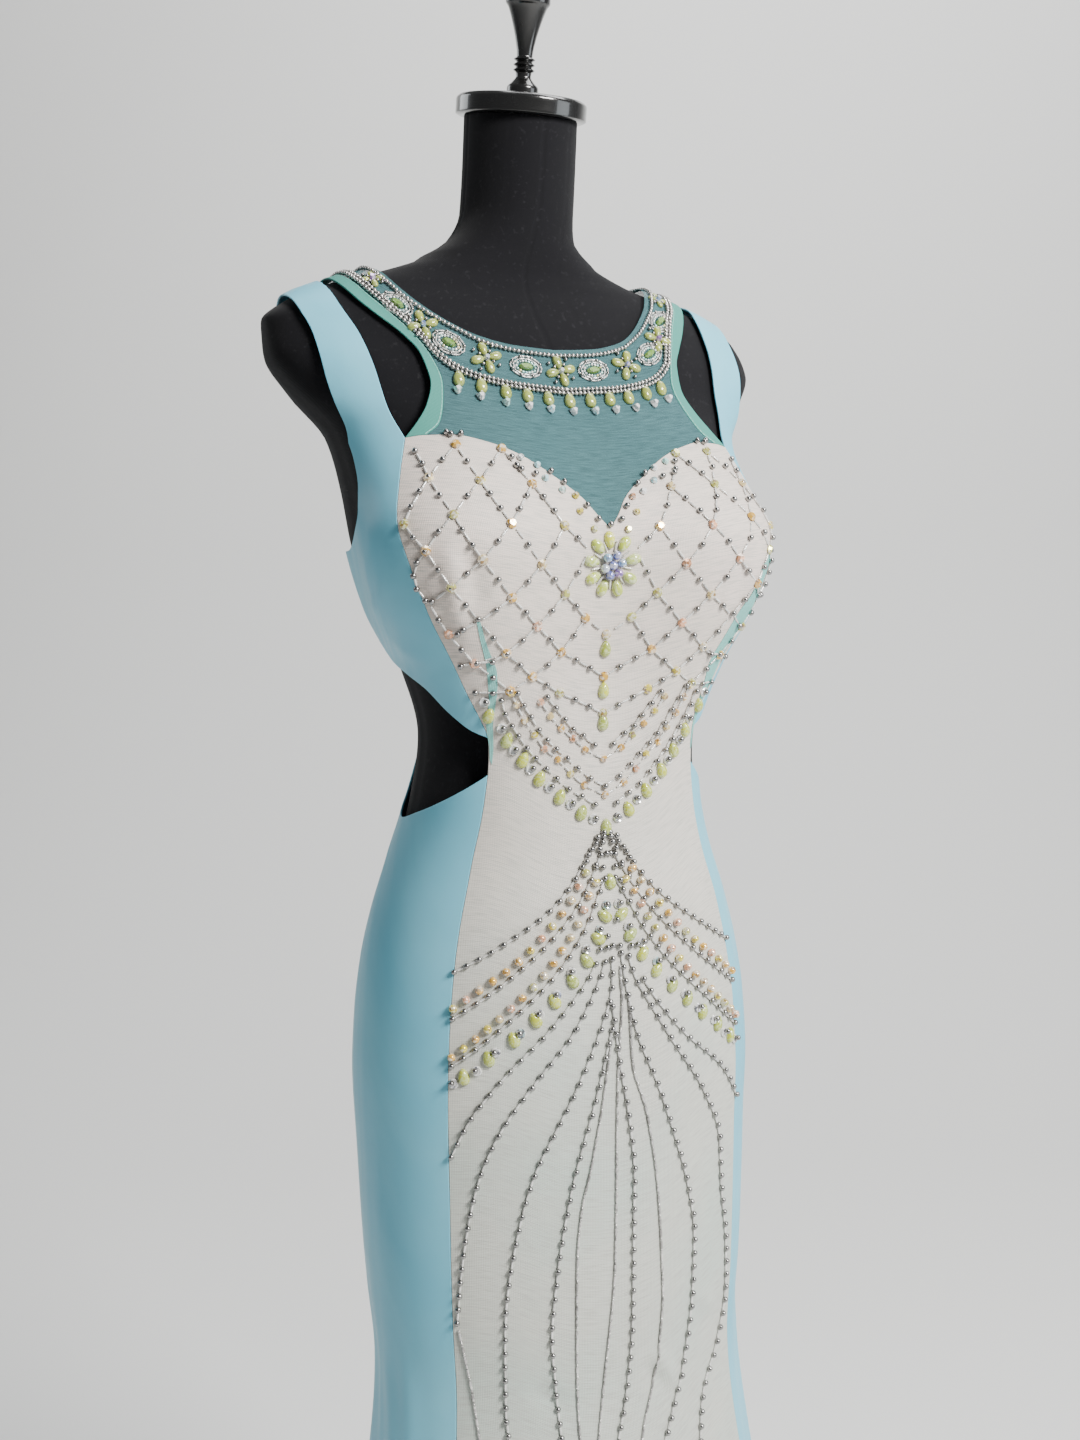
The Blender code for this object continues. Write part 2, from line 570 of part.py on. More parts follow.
def build_form():
    """Form of black cloth, neck cap, turned knob, pole and round foot."""
    sides = 36
    angles = np.linspace(0, 2 * math.pi, sides, endpoint=False)
    heights = [-0.325, -0.30, -0.27, -0.235, -0.20, -0.165, -0.13, -0.10, -0.07, -0.045, -0.02, 0.0, 0.02,
               0.04, 0.06, 0.08, 0.10, 0.12, 0.14, 0.16, 0.18, 0.20, 0.22, 0.24, 0.26, 0.28, 0.297, 0.312,
               0.325, 0.337, 0.347, 0.356, 0.364, 0.371, 0.378, 0.386, 0.396, 0.41, 0.43, 0.47, NECK_TOP]
    rings = []
    for shrink, z in ((0.70, TORSO_FOOT), (0.93, TORSO_FOOT + 0.005)):
        ring = body(angles, np.full(sides, TORSO_FOOT))
        ring[:, :2] *= shrink
        ring[:, 2] = z
        rings.append(ring)
    for z in heights:
        ring = body(angles, np.full(sides, z))
        ring -= FORM_IN * outward(ring) * np.array((1, 1, float(z < 0.39)))
        lean = np.clip((z - 0.43) / (NECK_TOP - 0.43), 0, 1)
        ring[:, 2] += lean * math.tan(NECK_TILT) * (ring[:, 1] - section(z)[3])
        rings.append(ring)
    ring_loft("form_torso", [ring + np.array((0, 0, WAIST)) for ring in rings], "black_cover")
    neck_x = float(sway(NECK_TOP))
    neck_y = float(section(NECK_TOP)[3])
    cap = ((0.0003, 0.049), (0.002, 0.052), (0.012, 0.052), (0.0155, 0.049), (0.0165, 0.040))
    turned("form_neck_cap", cap, "black_lacquer", (neck_x, neck_y), NECK_TILT, WAIST + NECK_TOP)
    knob = ((0.0, 0.011), (0.003, 0.0125), (0.007, 0.0125), (0.011, 0.009), (0.015, 0.006), (0.018, 0.0062),
            (0.020, 0.0085), (0.022, 0.0062), (0.024, 0.0085), (0.026, 0.0062), (0.028, 0.0085),
            (0.030, 0.0062), (0.034, 0.0065), (0.044, 0.0085), (0.058, 0.0125), (0.066, 0.0155),
            (0.069, 0.0175), (0.073, 0.0175), (0.076, 0.014), (0.080, 0.013), (0.086, 0.0165),
            (0.096, 0.0195), (0.107, 0.0175), (0.115, 0.012), (0.120, 0.005))
    rise = cap[-1][0] + SEAM
    turned("form_knob", knob, "black_lacquer", (neck_x, neck_y - rise * math.sin(NECK_TILT)), NECK_TILT,
           WAIST + NECK_TOP + rise * math.cos(NECK_TILT), sides=12)
    turned("stand_pole", ((0.0253, 0.011), (0.03, 0.0145), (WAIST + TORSO_FOOT - 0.0053, 0.0145),
                          (WAIST + TORSO_FOOT - 0.0003, 0.013)), "black_metal", sides=20)
    turned("stand_foot", ((0.0, 0.176), (0.004, 0.180), (0.009, 0.180), (0.013, 0.172), (0.017, 0.060),
                          (0.022, 0.030), (0.025, 0.022)), "black_metal", sides=36)


def on_both_sides(rows, lean, sizes, kind="drop"):
    """Stones at rows of degrees and height, leaning alike on the left and the right."""
    found = []
    for degrees, z in rows:
        for side in (-1, 1):
            found.append(stone(math.radians(side * degrees), z, side * lean, sizes, kind))
    return found


def front_stones():
    """Lime drops and clear stones that lie on the cream front panel."""
    found = on_both_sides(POINT_DROPS, -0.4, LIME_DROP)
    found += on_both_sides(POINT_ROUNDS, 0.0, ROUND_STONE, "round")
    found += on_both_sides(SWEEP_DROPS, 0.35, LIME_DROP)
    found += [stone(0.0, z, 0.0, LIME_DROP) for z in CENTRE_DROPS]
    # Two flat rings keep the panel true under the brooch
    found.append((brooch_ring(1.0), brooch_ring(0.6), np.array((0.0, BROOCH_Z, 0.0))))
    return found


def brooch_ring(share):
    """A ring of the brooch's outline, drawn in by a share of its radius."""
    turns = 2 * math.pi * np.arange(BROOCH_SIDES) / BROOCH_SIDES
    ring = np.stack([np.sin(turns), 0 * turns, np.cos(turns)], -1) * share * BROOCH_RADIUS
    angle, z, _ = polar(settle(body(0.0, BROOCH_Z) + ring))
    return np.stack([angle, z], -1)


def yoke_stones():
    """The row of drops that hangs from the collar over the net."""
    middle = stone(0.0, HANGING_DROPS[0][1], 0.0, LIME_DROP)
    return [middle] + on_both_sides(HANGING_DROPS[1:], 0.0, LIME_DROP)


def collar_stones():
    """Four-petal flowers and the long stones between them."""
    found = []
    for degrees, z, scale in COLLAR_FLOWERS:
        sizes = tuple(scale * size for size in PETAL)
        for side in (-1, 1) if degrees else (1,):
            for quarter in range(4):
                turn = side * (0.25 + quarter * math.pi / 2)
                found.append(petal_at(math.radians(side * degrees), z, turn, scale * PETAL_OUT, sizes))
    return found + on_both_sides(COLLAR_LONG_STONES, math.pi / 2, LONG_STONE, "box")


def petal_at(angle, z, turn, out, sizes):
    """A drop whose narrow end points at the middle of a flower."""
    place = body(np.array([angle]), np.array([z]))
    away = outward(place)[0]
    side = np.cross((0, 0, 1), away)
    side /= np.linalg.norm(side)
    up = np.cross(away, side)
    centre = settle(place + side * math.sin(turn) * out + up * math.cos(turn) * out)
    bearing, height, _ = polar(centre)
    return stone(bearing[0], height[0], turn + math.pi, sizes)


def build_dress():
    # Cream front panel, from the sweetheart edge to the hem
    half = np.concatenate([sweetheart[::-1], cup_seam[::-1], skirt_seam])
    cloth("front_panel", chain(half, hem_line(60, -60), mirrored(half)[::-1]), "cream_net",
          stones=front_stones())
    # Net yoke above the cups, inside the bindings and under the collar
    half = np.concatenate([sweetheart[::-1][:-3], binding_inner[:corner + 1], collar_low])
    cloth("yoke", chain(half, mirrored(half)[::-1]), "mesh_yoke", stones=yoke_stones())
    # Beaded collar, front and two back halves
    half = np.concatenate([collar_high[::-1], binding_inner[corner:][::-1], collar_low])
    cloth("collar_front", chain(half, mirrored(half)[::-1]), "beadwork", stones=collar_stones(), clear=0.006)
    for side, turn in (("left", lambda c: c), ("right", mirrored)):
        cloth("collar_back_" + side, turn(chain(collar_back_low, collar_back_high[::-1])), "beadwork",
              clear=0.007)
        # Bound armhole edge of the yoke
        foot = sweetheart[:4]
        cloth("armhole_binding_" + side, turn(chain(foot, binding_inner, armhole[::-1])), "binding")
        # Satin side of the bodice, in one piece with its strap
        over = chain(strap_inner, between(back_edge, 123, 148)[::-1], strap_outer[::-1])
        cloth("bodice_side_" + side,
              turn(chain(cup_seam, over, underarm, side_back_seam, between(cutout_high, 50, 118)[::-1])),
              "satin", clear=0.009)
        # Satin back band, closed at the centre back
        closing = by_angle(((180, BACK_TOP), (180, BACK_WAIST)), 3)
        waist = by_angle(((148, BACK_WAIST), (164, BACK_WAIST), (180, BACK_WAIST)), 2)
        cloth("back_band_" + side,
              turn(chain(side_back_seam[::-1], back_edge, closing, waist[::-1],
                         between(cutout_high, 118, 148)[::-1])), "satin")
        # Satin skirt side and skirt back
        low = between(cutout_low, 51, SKIRT_BACK_ANGLE)
        cloth("skirt_side_" + side,
              turn(chain(skirt_seam[::-1], low, back_skirt_seam, hem_line(SKIRT_BACK_ANGLE, 60))), "satin")
        closing = upright(180, BACK_WAIST)
        top = chain(between(cutout_low, SKIRT_BACK_ANGLE, 148), waist, closing[:1])
        cloth("skirt_back_" + side,
              turn(chain(back_skirt_seam[::-1], top, closing, hem_line(180, SKIRT_BACK_ANGLE))), "satin")
    # Flower brooch between the cups
    stones = [petal_at(0.0, BROOCH_Z, BROOCH_START + 2 * math.pi * i / BROOCH_PETALS, BROOCH_PETAL_OUT,
                       BROOCH_PETAL) for i in range(BROOCH_PETALS)]
    stones.append(stone(0.0, BROOCH_Z, 0.0, BROOCH_MIDDLE, "round"))
    middle = np.concatenate([brooch_ring(0.6), [(0.0, BROOCH_Z)]])
    cloth("brooch_flower", brooch_ring(1.0), "lime_stone", lift=EASE + WALL + SEAM, wall=0.0012,
          stones=stones, inner=middle)


for old in list(bpy.data.objects):
    bpy.data.objects.remove(old, do_unlink=True)
build_form()
build_dress()
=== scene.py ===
"""Mermaid prom dress of satin and beaded net, on its black dress form.

Metres, +Z up. The wearer's left is +X and the front is -Y.
Angles in the tables are degrees from the front, and heights are from the waist line.
"""
import math

import bpy
import numpy as np
from mathutils import Matrix, Vector
from mathutils.geometry import delaunay_2d_cdt


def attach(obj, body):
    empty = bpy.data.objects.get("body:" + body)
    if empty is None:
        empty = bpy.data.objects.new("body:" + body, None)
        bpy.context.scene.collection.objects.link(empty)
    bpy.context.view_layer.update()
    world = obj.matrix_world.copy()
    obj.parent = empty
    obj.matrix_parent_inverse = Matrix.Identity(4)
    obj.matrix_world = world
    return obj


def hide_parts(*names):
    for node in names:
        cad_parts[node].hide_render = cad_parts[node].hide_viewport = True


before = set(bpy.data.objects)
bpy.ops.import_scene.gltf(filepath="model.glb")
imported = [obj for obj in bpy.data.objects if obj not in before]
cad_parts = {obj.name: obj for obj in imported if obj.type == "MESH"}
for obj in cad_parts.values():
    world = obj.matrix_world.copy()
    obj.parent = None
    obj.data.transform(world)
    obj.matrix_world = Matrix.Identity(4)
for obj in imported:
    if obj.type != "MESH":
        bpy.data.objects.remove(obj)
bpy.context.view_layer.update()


# Torso of the dress form: a moulded shape without limbs, under a stretched cover of black
# jersey with seams at front, sides and back. The dress is drawn over it from below.
WAIST = 1.070           # waist line over the floor
FORM_IN = 0.0022        # the cover lies this far inside the dress's own surface
TORSO_FOOT = -0.340
NECK_TOP = 0.503
NECK_TILT = math.radians(12)
TORSO_SIDES = 144
COVER_SEAMS = (0, 34, 90, 146, 180)
SEAM_DEEP = 0.0007
SEAM_WIDE = math.radians(0.9)
# Rings that close the foot of the torso: share of its girth, and rise
FOOT_RINGS = ((0.40, 0.0), (0.70, 0.0), (0.86, 0.002), (0.94, 0.006), (0.98, 0.011))
FIRST_RING = -0.325
RING_STEP = 0.006       # half of it over the shoulders
SHOULDERS = (0.29, 0.40)
LEVEL_FROM = 0.39       # from here up the cover is drawn in without a change of height
LEAN_FROM = 0.43        # the neck tilts from here to its top
# height, half width, front depth, back depth, centre y, squareness
SECTIONS = np.array((
    (-1.060, 0.376, 0.338, 0.410, 0.000, 2.00),
    (-0.950, 0.322, 0.290, 0.345, 0.000, 2.00),
    (-0.850, 0.268, 0.240, 0.280, 0.000, 2.00),
    (-0.750, 0.219, 0.190, 0.218, 0.001, 2.00),
    (-0.660, 0.183, 0.145, 0.165, 0.002, 2.05),
    (-0.580, 0.162, 0.113, 0.127, 0.003, 2.10),
    (-0.480, 0.153, 0.102, 0.112, 0.004, 2.15),
    (-0.420, 0.158, 0.104, 0.114, 0.004, 2.15),
    (-0.360, 0.161, 0.106, 0.117, 0.004, 2.15),
    (-0.300, 0.163, 0.108, 0.120, 0.004, 2.15),
    (-0.250, 0.165, 0.109, 0.122, 0.003, 2.15),
    (-0.200, 0.162, 0.109, 0.121, 0.003, 2.15),
    (-0.160, 0.156, 0.108, 0.117, 0.004, 2.15),
    (-0.120, 0.146, 0.106, 0.108, 0.005, 2.15),
    (-0.080, 0.133, 0.099, 0.096, 0.005, 2.15),
    (-0.030, 0.119, 0.090, 0.083, 0.000, 2.15),
    (0.020, 0.112, 0.086, 0.080, -0.002, 2.15),
    (0.070, 0.122, 0.094, 0.086, 0.003, 2.25),
    (0.120, 0.143, 0.108, 0.096, 0.008, 2.40),
    (0.170, 0.154, 0.118, 0.106, 0.012, 2.55),
    (0.210, 0.159, 0.104, 0.108, 0.015, 2.50),
    (0.250, 0.168, 0.083, 0.105, 0.018, 2.50),
    (0.280, 0.193, 0.070, 0.100, 0.020, 2.40),
    (0.310, 0.209, 0.062, 0.092, 0.022, 2.40),
    (0.335, 0.205, 0.054, 0.080, 0.024, 2.30),
    (0.352, 0.184, 0.048, 0.068, 0.026, 2.20),
    (0.366, 0.150, 0.044, 0.058, 0.028, 2.10),
    (0.378, 0.110, 0.043, 0.052, 0.029, 2.00),
    (0.392, 0.074, 0.044, 0.050, 0.029, 2.00),
    (0.408, 0.054, 0.046, 0.049, 0.029, 2.00),
    (0.430, 0.048, 0.047, 0.047, 0.028, 2.00),
    (0.510, 0.047, 0.047, 0.047, 0.022, 2.00),
))
# How far the upper body stands over to the wearer's right, by height
SWAY = np.array(((-1.100, 0.0), (0.150, 0.0), (0.200, -0.0012), (0.240, -0.0028), (0.290, -0.0080),
                 (0.320, -0.0125), (0.345, -0.0190), (0.370, -0.0210), (0.400, -0.0150),
                 (0.430, -0.0085), (0.520, -0.0050)))
# The two cups: centre height and angle, how far out, and how far they spread
CUP_Z = 0.150
CUP_ANGLE = math.radians(52)
CUP_OUT = 0.034
CUP_WIDE = math.radians(27)
CUP_UP = 0.088
CUP_DOWN = 0.125
# Soft waves of the mermaid hem
HEM = -1.056
WAVES = 9
WAVE_OUT = 0.022
WAVE_START = -0.600


def follow(xs, ys, x):
    """Smooth curve through (xs, ys) that never overshoots its rows."""
    step = np.diff(xs)
    slope = np.diff(ys) / step
    tangent = np.zeros(len(xs))
    for i in range(1, len(xs) - 1):
        if slope[i - 1] * slope[i] > 0:
            near = 2 * step[i] + step[i - 1]
            far = step[i] + 2 * step[i - 1]
            tangent[i] = (near + far) / (near / slope[i - 1] + far / slope[i])
    tangent[0] = slope[0]
    tangent[-1] = slope[-1]
    x = np.clip(x, xs[0], xs[-1])
    i = np.clip(np.searchsorted(xs, x) - 1, 0, len(xs) - 2)
    t = (x - xs[i]) / step[i]
    return ((1 + 2 * t) * (1 - t) ** 2 * ys[i] + t * (1 - t) ** 2 * step[i] * tangent[i]
            + t * t * (3 - 2 * t) * ys[i + 1] + t * t * (t - 1) * step[i] * tangent[i + 1])


def section(z):
    return [follow(SECTIONS[:, 0], SECTIONS[:, column], z) for column in range(1, 6)]


def sway(z):
    return follow(SWAY[:, 0], SWAY[:, 1], z)


def reach(angle, z):
    """Distance of the surface from the section's centre; angle 0 is the front."""
    wide, front, back, _, square = section(z)
    deep = np.where(np.cos(angle) > 0, front, back)
    across = (np.abs(np.sin(angle)) / wide) ** square
    along = (np.abs(np.cos(angle)) / deep) ** square
    plain = (across + along) ** (-1 / square)
    off_angle = (np.abs(angle) - CUP_ANGLE) / CUP_WIDE
    off_height = (z - CUP_Z) / np.where(z > CUP_Z, CUP_UP, CUP_DOWN)
    cup = CUP_OUT * np.exp(-off_angle ** 2 - off_height ** 2)
    low = np.clip((WAVE_START - z) / (WAVE_START - HEM), 0, 1) ** 1.5
    wave = WAVE_OUT * low * (np.cos(WAVES * angle) + 0.35 * np.cos(4 * angle))
    return plain + cup + wave


def body(angle, z):
    """Points of the body surface, heights from the waist."""
    angle = np.asarray(angle, float)
    z = np.asarray(z, float)
    radius = reach(angle, z)
    x = radius * np.sin(angle) + sway(z)
    return np.stack([x, section(z)[3] - radius * np.cos(angle), z], -1)


def polar(points):
    """Angle, height and the signed distance outside the surface of some points."""
    z = points[..., 2]
    x = points[..., 0] - sway(z)
    y = points[..., 1] - section(z)[3]
    angle = np.arctan2(x, -y)
    return angle, z, np.hypot(x, y) - reach(angle, z)


def outward(points):
    """Unit directions away from the body surface."""
    slope = slope_out(points)
    return slope / np.linalg.norm(slope, axis=-1)[..., None]


def slope_out(points):
    step = 0.0005
    columns = []
    for axis in np.eye(3) * step:
        columns.append((polar(points + axis)[2] - polar(points - axis)[2]) / (2 * step))
    return np.stack(columns, -1)


def mesh_object(name, points, faces, finish, flat=None, sharp=50):
    """A mesh with smooth shading, one material and, for cloth, its places on the flat cut."""
    mesh = bpy.data.meshes.new(name)
    mesh.from_pydata([tuple(p) for p in points], [], [tuple(f) for f in faces])
    if flat is not None:
        corners = np.zeros(len(mesh.loops), int)
        mesh.loops.foreach_get("vertex_index", corners)
        layer = mesh.uv_layers.new(name="flat")
        layer.data.foreach_set("uv", np.asarray(flat, np.float32)[corners].ravel())
    mesh.shade_smooth()
    mesh.set_sharp_from_angle(angle=math.radians(sharp))
    mesh.materials.append(finish)
    made = bpy.data.objects.new(name, mesh)
    bpy.context.scene.collection.objects.link(made)
    return made


def place_on_form(piece, slot, *nodes):
    """Every piece stands with the form; it shows in place of the solids named."""
    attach(piece, "root")
    if nodes:
        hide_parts(*nodes)
    return piece


def node(tree, kind, sockets=None, **settings):
    """A node with its settings, and its sockets set or linked."""
    made = tree.nodes.new(kind)
    for name, value in settings.items():
        setattr(made, name, value)
    for name, value in (sockets or {}).items():
        if isinstance(value, bpy.types.NodeSocket):
            tree.links.new(value, made.inputs[name])
        else:
            made.inputs[name].default_value = value
    return made


def finish_of(name, **values):
    """A material with plain values on its Principled shader, and its tree."""
    made = bpy.data.materials.new(name)
    made.use_nodes = True
    shader = made.node_tree.nodes["Principled BSDF"]
    for socket, value in values.items():
        shader.inputs[socket.replace("_", " ")].default_value = value
    return made, made.node_tree


def drive(tree, **outputs):
    """Link outputs to the sockets of the tree's Principled shader."""
    shader = tree.nodes["Principled BSDF"]
    for socket, output in outputs.items():
        tree.links.new(output, shader.inputs[socket.replace("_", " ")])


def maths(tree, operation, *values):
    """Result of one arithmetic node on numbers or sockets."""
    return node(tree, "ShaderNodeMath", dict(enumerate(values)), operation=operation).outputs[0]


def scaled_by(tree, vector, factor):
    return node(tree, "ShaderNodeVectorMath", {0: vector, 3: factor}, operation="SCALE").outputs[0]


def ranged(tree, value, *ends):
    """The value moved from one range to another and held inside it; the new range is 0 to 1 if not given."""
    return node(tree, "ShaderNodeMapRange", dict(enumerate((value, *ends)))).outputs[0]


def object_place(tree):
    return node(tree, "ShaderNodeTexCoord").outputs["Object"]


def noise_on(tree, vector, scale, detail, distortion=0.0):
    """Cloudy noise between 0 and 1 on a vector."""
    sockets = {"Vector": vector, "Scale": scale, "Detail": detail, "Distortion": distortion}
    return node(tree, "ShaderNodeTexNoise", sockets).outputs["Fac"]


def bumped(tree, strength, distance, height):
    """Normal of a surface raised by a height."""
    sockets = {"Strength": strength, "Distance": distance, "Height": height}
    return node(tree, "ShaderNodeBump", sockets).outputs[0]


def waves(tree, vector, pitch, axes):
    """Sine waves along some axes of a vector, one wave to each pitch."""
    turns = maths(tree, "DIVIDE", 2 * math.pi, pitch)
    parts = node(tree, "ShaderNodeSeparateXYZ", {0: scaled_by(tree, vector, turns)}).outputs
    return [maths(tree, "SINE", parts[axis]) for axis in axes]


def blend_colour(tree, share, low, high):
    """Colour that goes from low to high as share goes from 0 to 1."""
    mixed = node(tree, "ShaderNodeMix", {0: share, 6: low, 7: high}, data_type="RGBA")
    return mixed.outputs[2]


def number_group(name, inputs, outputs):
    """A shader group with numbers going in and out: its tree, and the sockets inside it."""
    tree = bpy.data.node_groups.new(name, "ShaderNodeTree")
    for label, value in inputs:
        socket = tree.interface.new_socket(label, in_out="INPUT", socket_type="NodeSocketFloat")
        socket.default_value = value
    for label in outputs:
        tree.interface.new_socket(label, in_out="OUTPUT", socket_type="NodeSocketFloat")
    return tree, node(tree, "NodeGroupInput").outputs, node(tree, "NodeGroupOutput").inputs


def knit_group():
    """Fine rows of loops on Object coordinates, as a height and a mask of lint."""
    tree, enter, leave = number_group("jersey_knit", (("Loop Size", 0.0011), ("Lint", 0.35)),
                                      ("Height", "Lint"))
    place = object_place(tree)
    rows, columns = waves(tree, place, enter["Loop Size"], "ZX")
    few = ranged(tree, noise_on(tree, place, 260.0, 3.0), 0.60, 0.72)
    tree.links.new(maths(tree, "MULTIPLY", rows, columns), leave["Height"])
    tree.links.new(maths(tree, "MULTIPLY", few, enter["Lint"]), leave["Lint"])
    return tree


def loft_faces(count, rows):
    """Faces of a closed solid through rows of points, listed from the bottom up."""
    faces = [tuple(reversed(range(count)))]
    for first in range(0, (rows - 1) * count, count):
        for i in range(count):
            j = (i + 1) % count
            faces.append((first + i, first + j, first + count + j, first + count + i))
    faces.append(tuple(range((rows - 1) * count, rows * count)))
    return faces


def ring_loft(name, rings, finish, sharp=50):
    """A closed solid through rings of points, listed from the bottom up."""
    return mesh_object(name, np.concatenate(rings), loft_faces(len(rings[0]), len(rings)), finish,
                       sharp=sharp)


black_jersey, tree = finish_of("black_jersey", Roughness=0.9, Sheen_Weight=0.05, Sheen_Roughness=0.5,
                               Specular_IOR_Level=0.16)
knit = node(tree, "ShaderNodeGroup", node_tree=knit_group()).outputs
drive(tree, Base_Color=blend_colour(tree, knit["Lint"], (0.0045, 0.0045, 0.006, 1), (0.022, 0.022, 0.025, 1)),
      Normal=bumped(tree, 0.25, 0.0003, knit["Height"]))

angles = np.linspace(0, 2 * math.pi, TORSO_SIDES, endpoint=False)
turned_in = np.abs((angles + math.pi) % (2 * math.pi) - math.pi)
groove = sum(np.exp(-((turned_in - math.radians(seam)) / SEAM_WIDE) ** 2) for seam in COVER_SEAMS)
inwards = (FORM_IN + SEAM_DEEP * groove)[:, None]
rings = []
for shrink, rise in FOOT_RINGS:
    ring = body(angles, np.full(TORSO_SIDES, TORSO_FOOT))
    ring[:, :2] *= shrink
    ring[:, 2] += rise
    rings.append(ring)
low, high = SHOULDERS
levels = (np.arange(FIRST_RING, low, RING_STEP), np.arange(low, high, RING_STEP / 2),
          np.arange(high, NECK_TOP - RING_STEP / 2, RING_STEP), [NECK_TOP])
for z in np.concatenate(levels):
    ring = body(angles, np.full(TORSO_SIDES, z))
    ring -= inwards * outward(ring) * np.array((1, 1, float(z < LEVEL_FROM)))
    lean = np.clip((z - LEAN_FROM) / (NECK_TOP - LEAN_FROM), 0, 1)
    ring[:, 2] += lean * math.tan(NECK_TILT) * (ring[:, 1] - section(z)[3])
    rings.append(ring)
torso = ring_loft("torso_cover", [ring + np.array((0, 0, WAIST)) for ring in rings], black_jersey)
place_on_form(torso, "black_cover", "form_torso")


# Neck cap and turned knob of the form: beech, turned on a lathe, stained and lacquered black.
# They stand on the tilted neck and close it.
CAP = ((0.0003, 0.049), (0.0012, 0.0512), (0.002, 0.052), (0.012, 0.052), (0.0142, 0.0508), (0.0155, 0.049),
       (0.0165, 0.040))
KNOB = ((0.0, 0.011), (0.003, 0.0125), (0.007, 0.0125), (0.011, 0.009), (0.015, 0.006), (0.018, 0.0062),
        (0.020, 0.0085), (0.022, 0.0062), (0.024, 0.0085), (0.026, 0.0062), (0.028, 0.0085),
        (0.030, 0.0062), (0.034, 0.0065), (0.044, 0.0085), (0.058, 0.0125), (0.066, 0.0155),
        (0.069, 0.0175), (0.073, 0.0175), (0.076, 0.014), (0.080, 0.013), (0.086, 0.0165),
        (0.096, 0.0195), (0.107, 0.0175), (0.115, 0.012), (0.120, 0.005))
FIT = 0.0003            # gap between pieces that meet


def fine_rows(count, pieces):
    """Row numbers of a table with some pieces between two rows."""
    return np.linspace(0, count - 1, (count - 1) * pieces + 1)


def smooth(columns, fine):
    """Smooth curves through the columns of a table, read at fine row numbers."""
    return np.stack([follow(np.arange(len(column)), column, fine) for column in columns], -1)


def turned(name, profile, finish, centre=(0.0, 0.0), tilt=0.0, base=0.0, sides=64):
    """A solid turned about an upright axis from heights and radii, leaned forward by tilt."""
    around = np.linspace(0, 2 * math.pi, sides, endpoint=False)
    rings = []
    for height, radius in smooth(np.array(profile).T, fine_rows(len(profile), 4)):
        x = radius * np.cos(around)
        y = radius * np.sin(around)
        rings.append(np.stack([x + centre[0],
                               y * math.cos(tilt) - height * math.sin(tilt) + centre[1],
                               y * math.sin(tilt) + height * math.cos(tilt) + base], -1))
    return ring_loft(name, rings, finish, sharp=38)


lacquer, tree = finish_of("black_lacquer", Base_Color=(0.006, 0.006, 0.006, 1), Coat_Weight=0.8,
                          Coat_Roughness=0.06)
smears = noise_on(tree, object_place(tree), 45.0, 5.0)
drive(tree, Roughness=ranged(tree, smears, 0.0, 1.0, 0.14, 0.34))
neck_x = float(sway(NECK_TOP))
neck_y = float(section(NECK_TOP)[3])
cap = turned("neck_cap", CAP, lacquer, (neck_x, neck_y), NECK_TILT, WAIST + NECK_TOP, sides=96)
place_on_form(cap, "black_lacquer", "form_neck_cap")
rise = CAP[-1][0] + FIT
knob = turned("neck_knob", KNOB, lacquer, (neck_x, neck_y - rise * math.sin(NECK_TILT)), NECK_TILT,
              WAIST + NECK_TOP + rise * math.cos(NECK_TILT), sides=48)
place_on_form(knob, "black_lacquer", "form_knob")


# Stand: a steel pole on a heavy round foot, powder-coated black. The pole is screwed to the
# foot and the torso is pushed down on it.
POLE = 0.0145
FOOT_TOP = 0.0253
FOOT = ((0.0, 0.1762), (0.0006, 0.1785), (0.004, 0.180), (0.009, 0.180), (0.013, 0.172), (0.0150, 0.115),
        (0.017, 0.060), (0.022, 0.030), (0.025, 0.022))
# Rise and radius at the lower end, and drop and radius at the upper end
POLE_FOOT = ((0.0, 0.011), (0.002, 0.0135), (0.0047, POLE))
POLE_HEAD = ((0.005, POLE), (0.0, 0.013))

powder_coat, tree = finish_of("black_powder_coat", Metallic=0.35, Specular_IOR_Level=0.4)
place = object_place(tree)
dust = noise_on(tree, place, 14.0, 6.0)
drive(tree,
      Base_Color=blend_colour(tree, ranged(tree, dust, 0.45, 0.75), (0.010, 0.010, 0.011, 1),
                              (0.022, 0.022, 0.022, 1)),
      Roughness=ranged(tree, dust, 0.0, 1.0, 0.36, 0.56),
      Normal=bumped(tree, 0.3, 0.0002, noise_on(tree, place, 900.0, 2.0)))
pole_top = WAIST + TORSO_FOOT - FIT
pole_profile = [(FOOT_TOP + rise, radius) for rise, radius in POLE_FOOT]
pole_profile += [(pole_top - drop, radius) for drop, radius in POLE_HEAD]
pole = turned("stand_pole_tube", pole_profile, powder_coat)
place_on_form(pole, "black_metal", "stand_pole")
foot = turned("stand_foot_plate", FOOT, powder_coat, sides=128)
place_on_form(foot, "black_metal", "stand_foot")


# Front panel: cream lining under fine aqua net, cut in one from the sweetheart edge to the
# hem and shaped over the cups by a dart beside each princess seam.
EASE = 0.0009           # inner face of the cloth over the body surface
WALL = 0.0016           # cloth wall
JOIN_Z = 0.241          # where strap, cup and binding meet
PIECES = 8              # rows added between two rows of a table
CUP_SEAM = ((50.0, 0.022), (53.3, 0.058), (54.7, 0.095), (56.5, 0.150), (59.0, 0.181), (62.5, JOIN_Z))
SWEETHEART = ((62.5, JOIN_Z), (57.5, 0.2425), (51.0, 0.2425), (41.0, 0.237), (31.5, 0.2285),
              (20.4, 0.214), (9.0, 0.196), (4.0, 0.183), (0.0, 0.174))
SKIRT_SEAM = ((51.0, -0.006), (53.5, -0.050), (55.5, -0.100), (57.5, -0.160), (58.5, -0.220),
              (59.2, -0.320), (60.0, -0.400), (60.5, -0.500), (60.0, -0.700), (60.0, HEM))
LINE_GAP = 0.006        # between the inner points of a cloth mesh
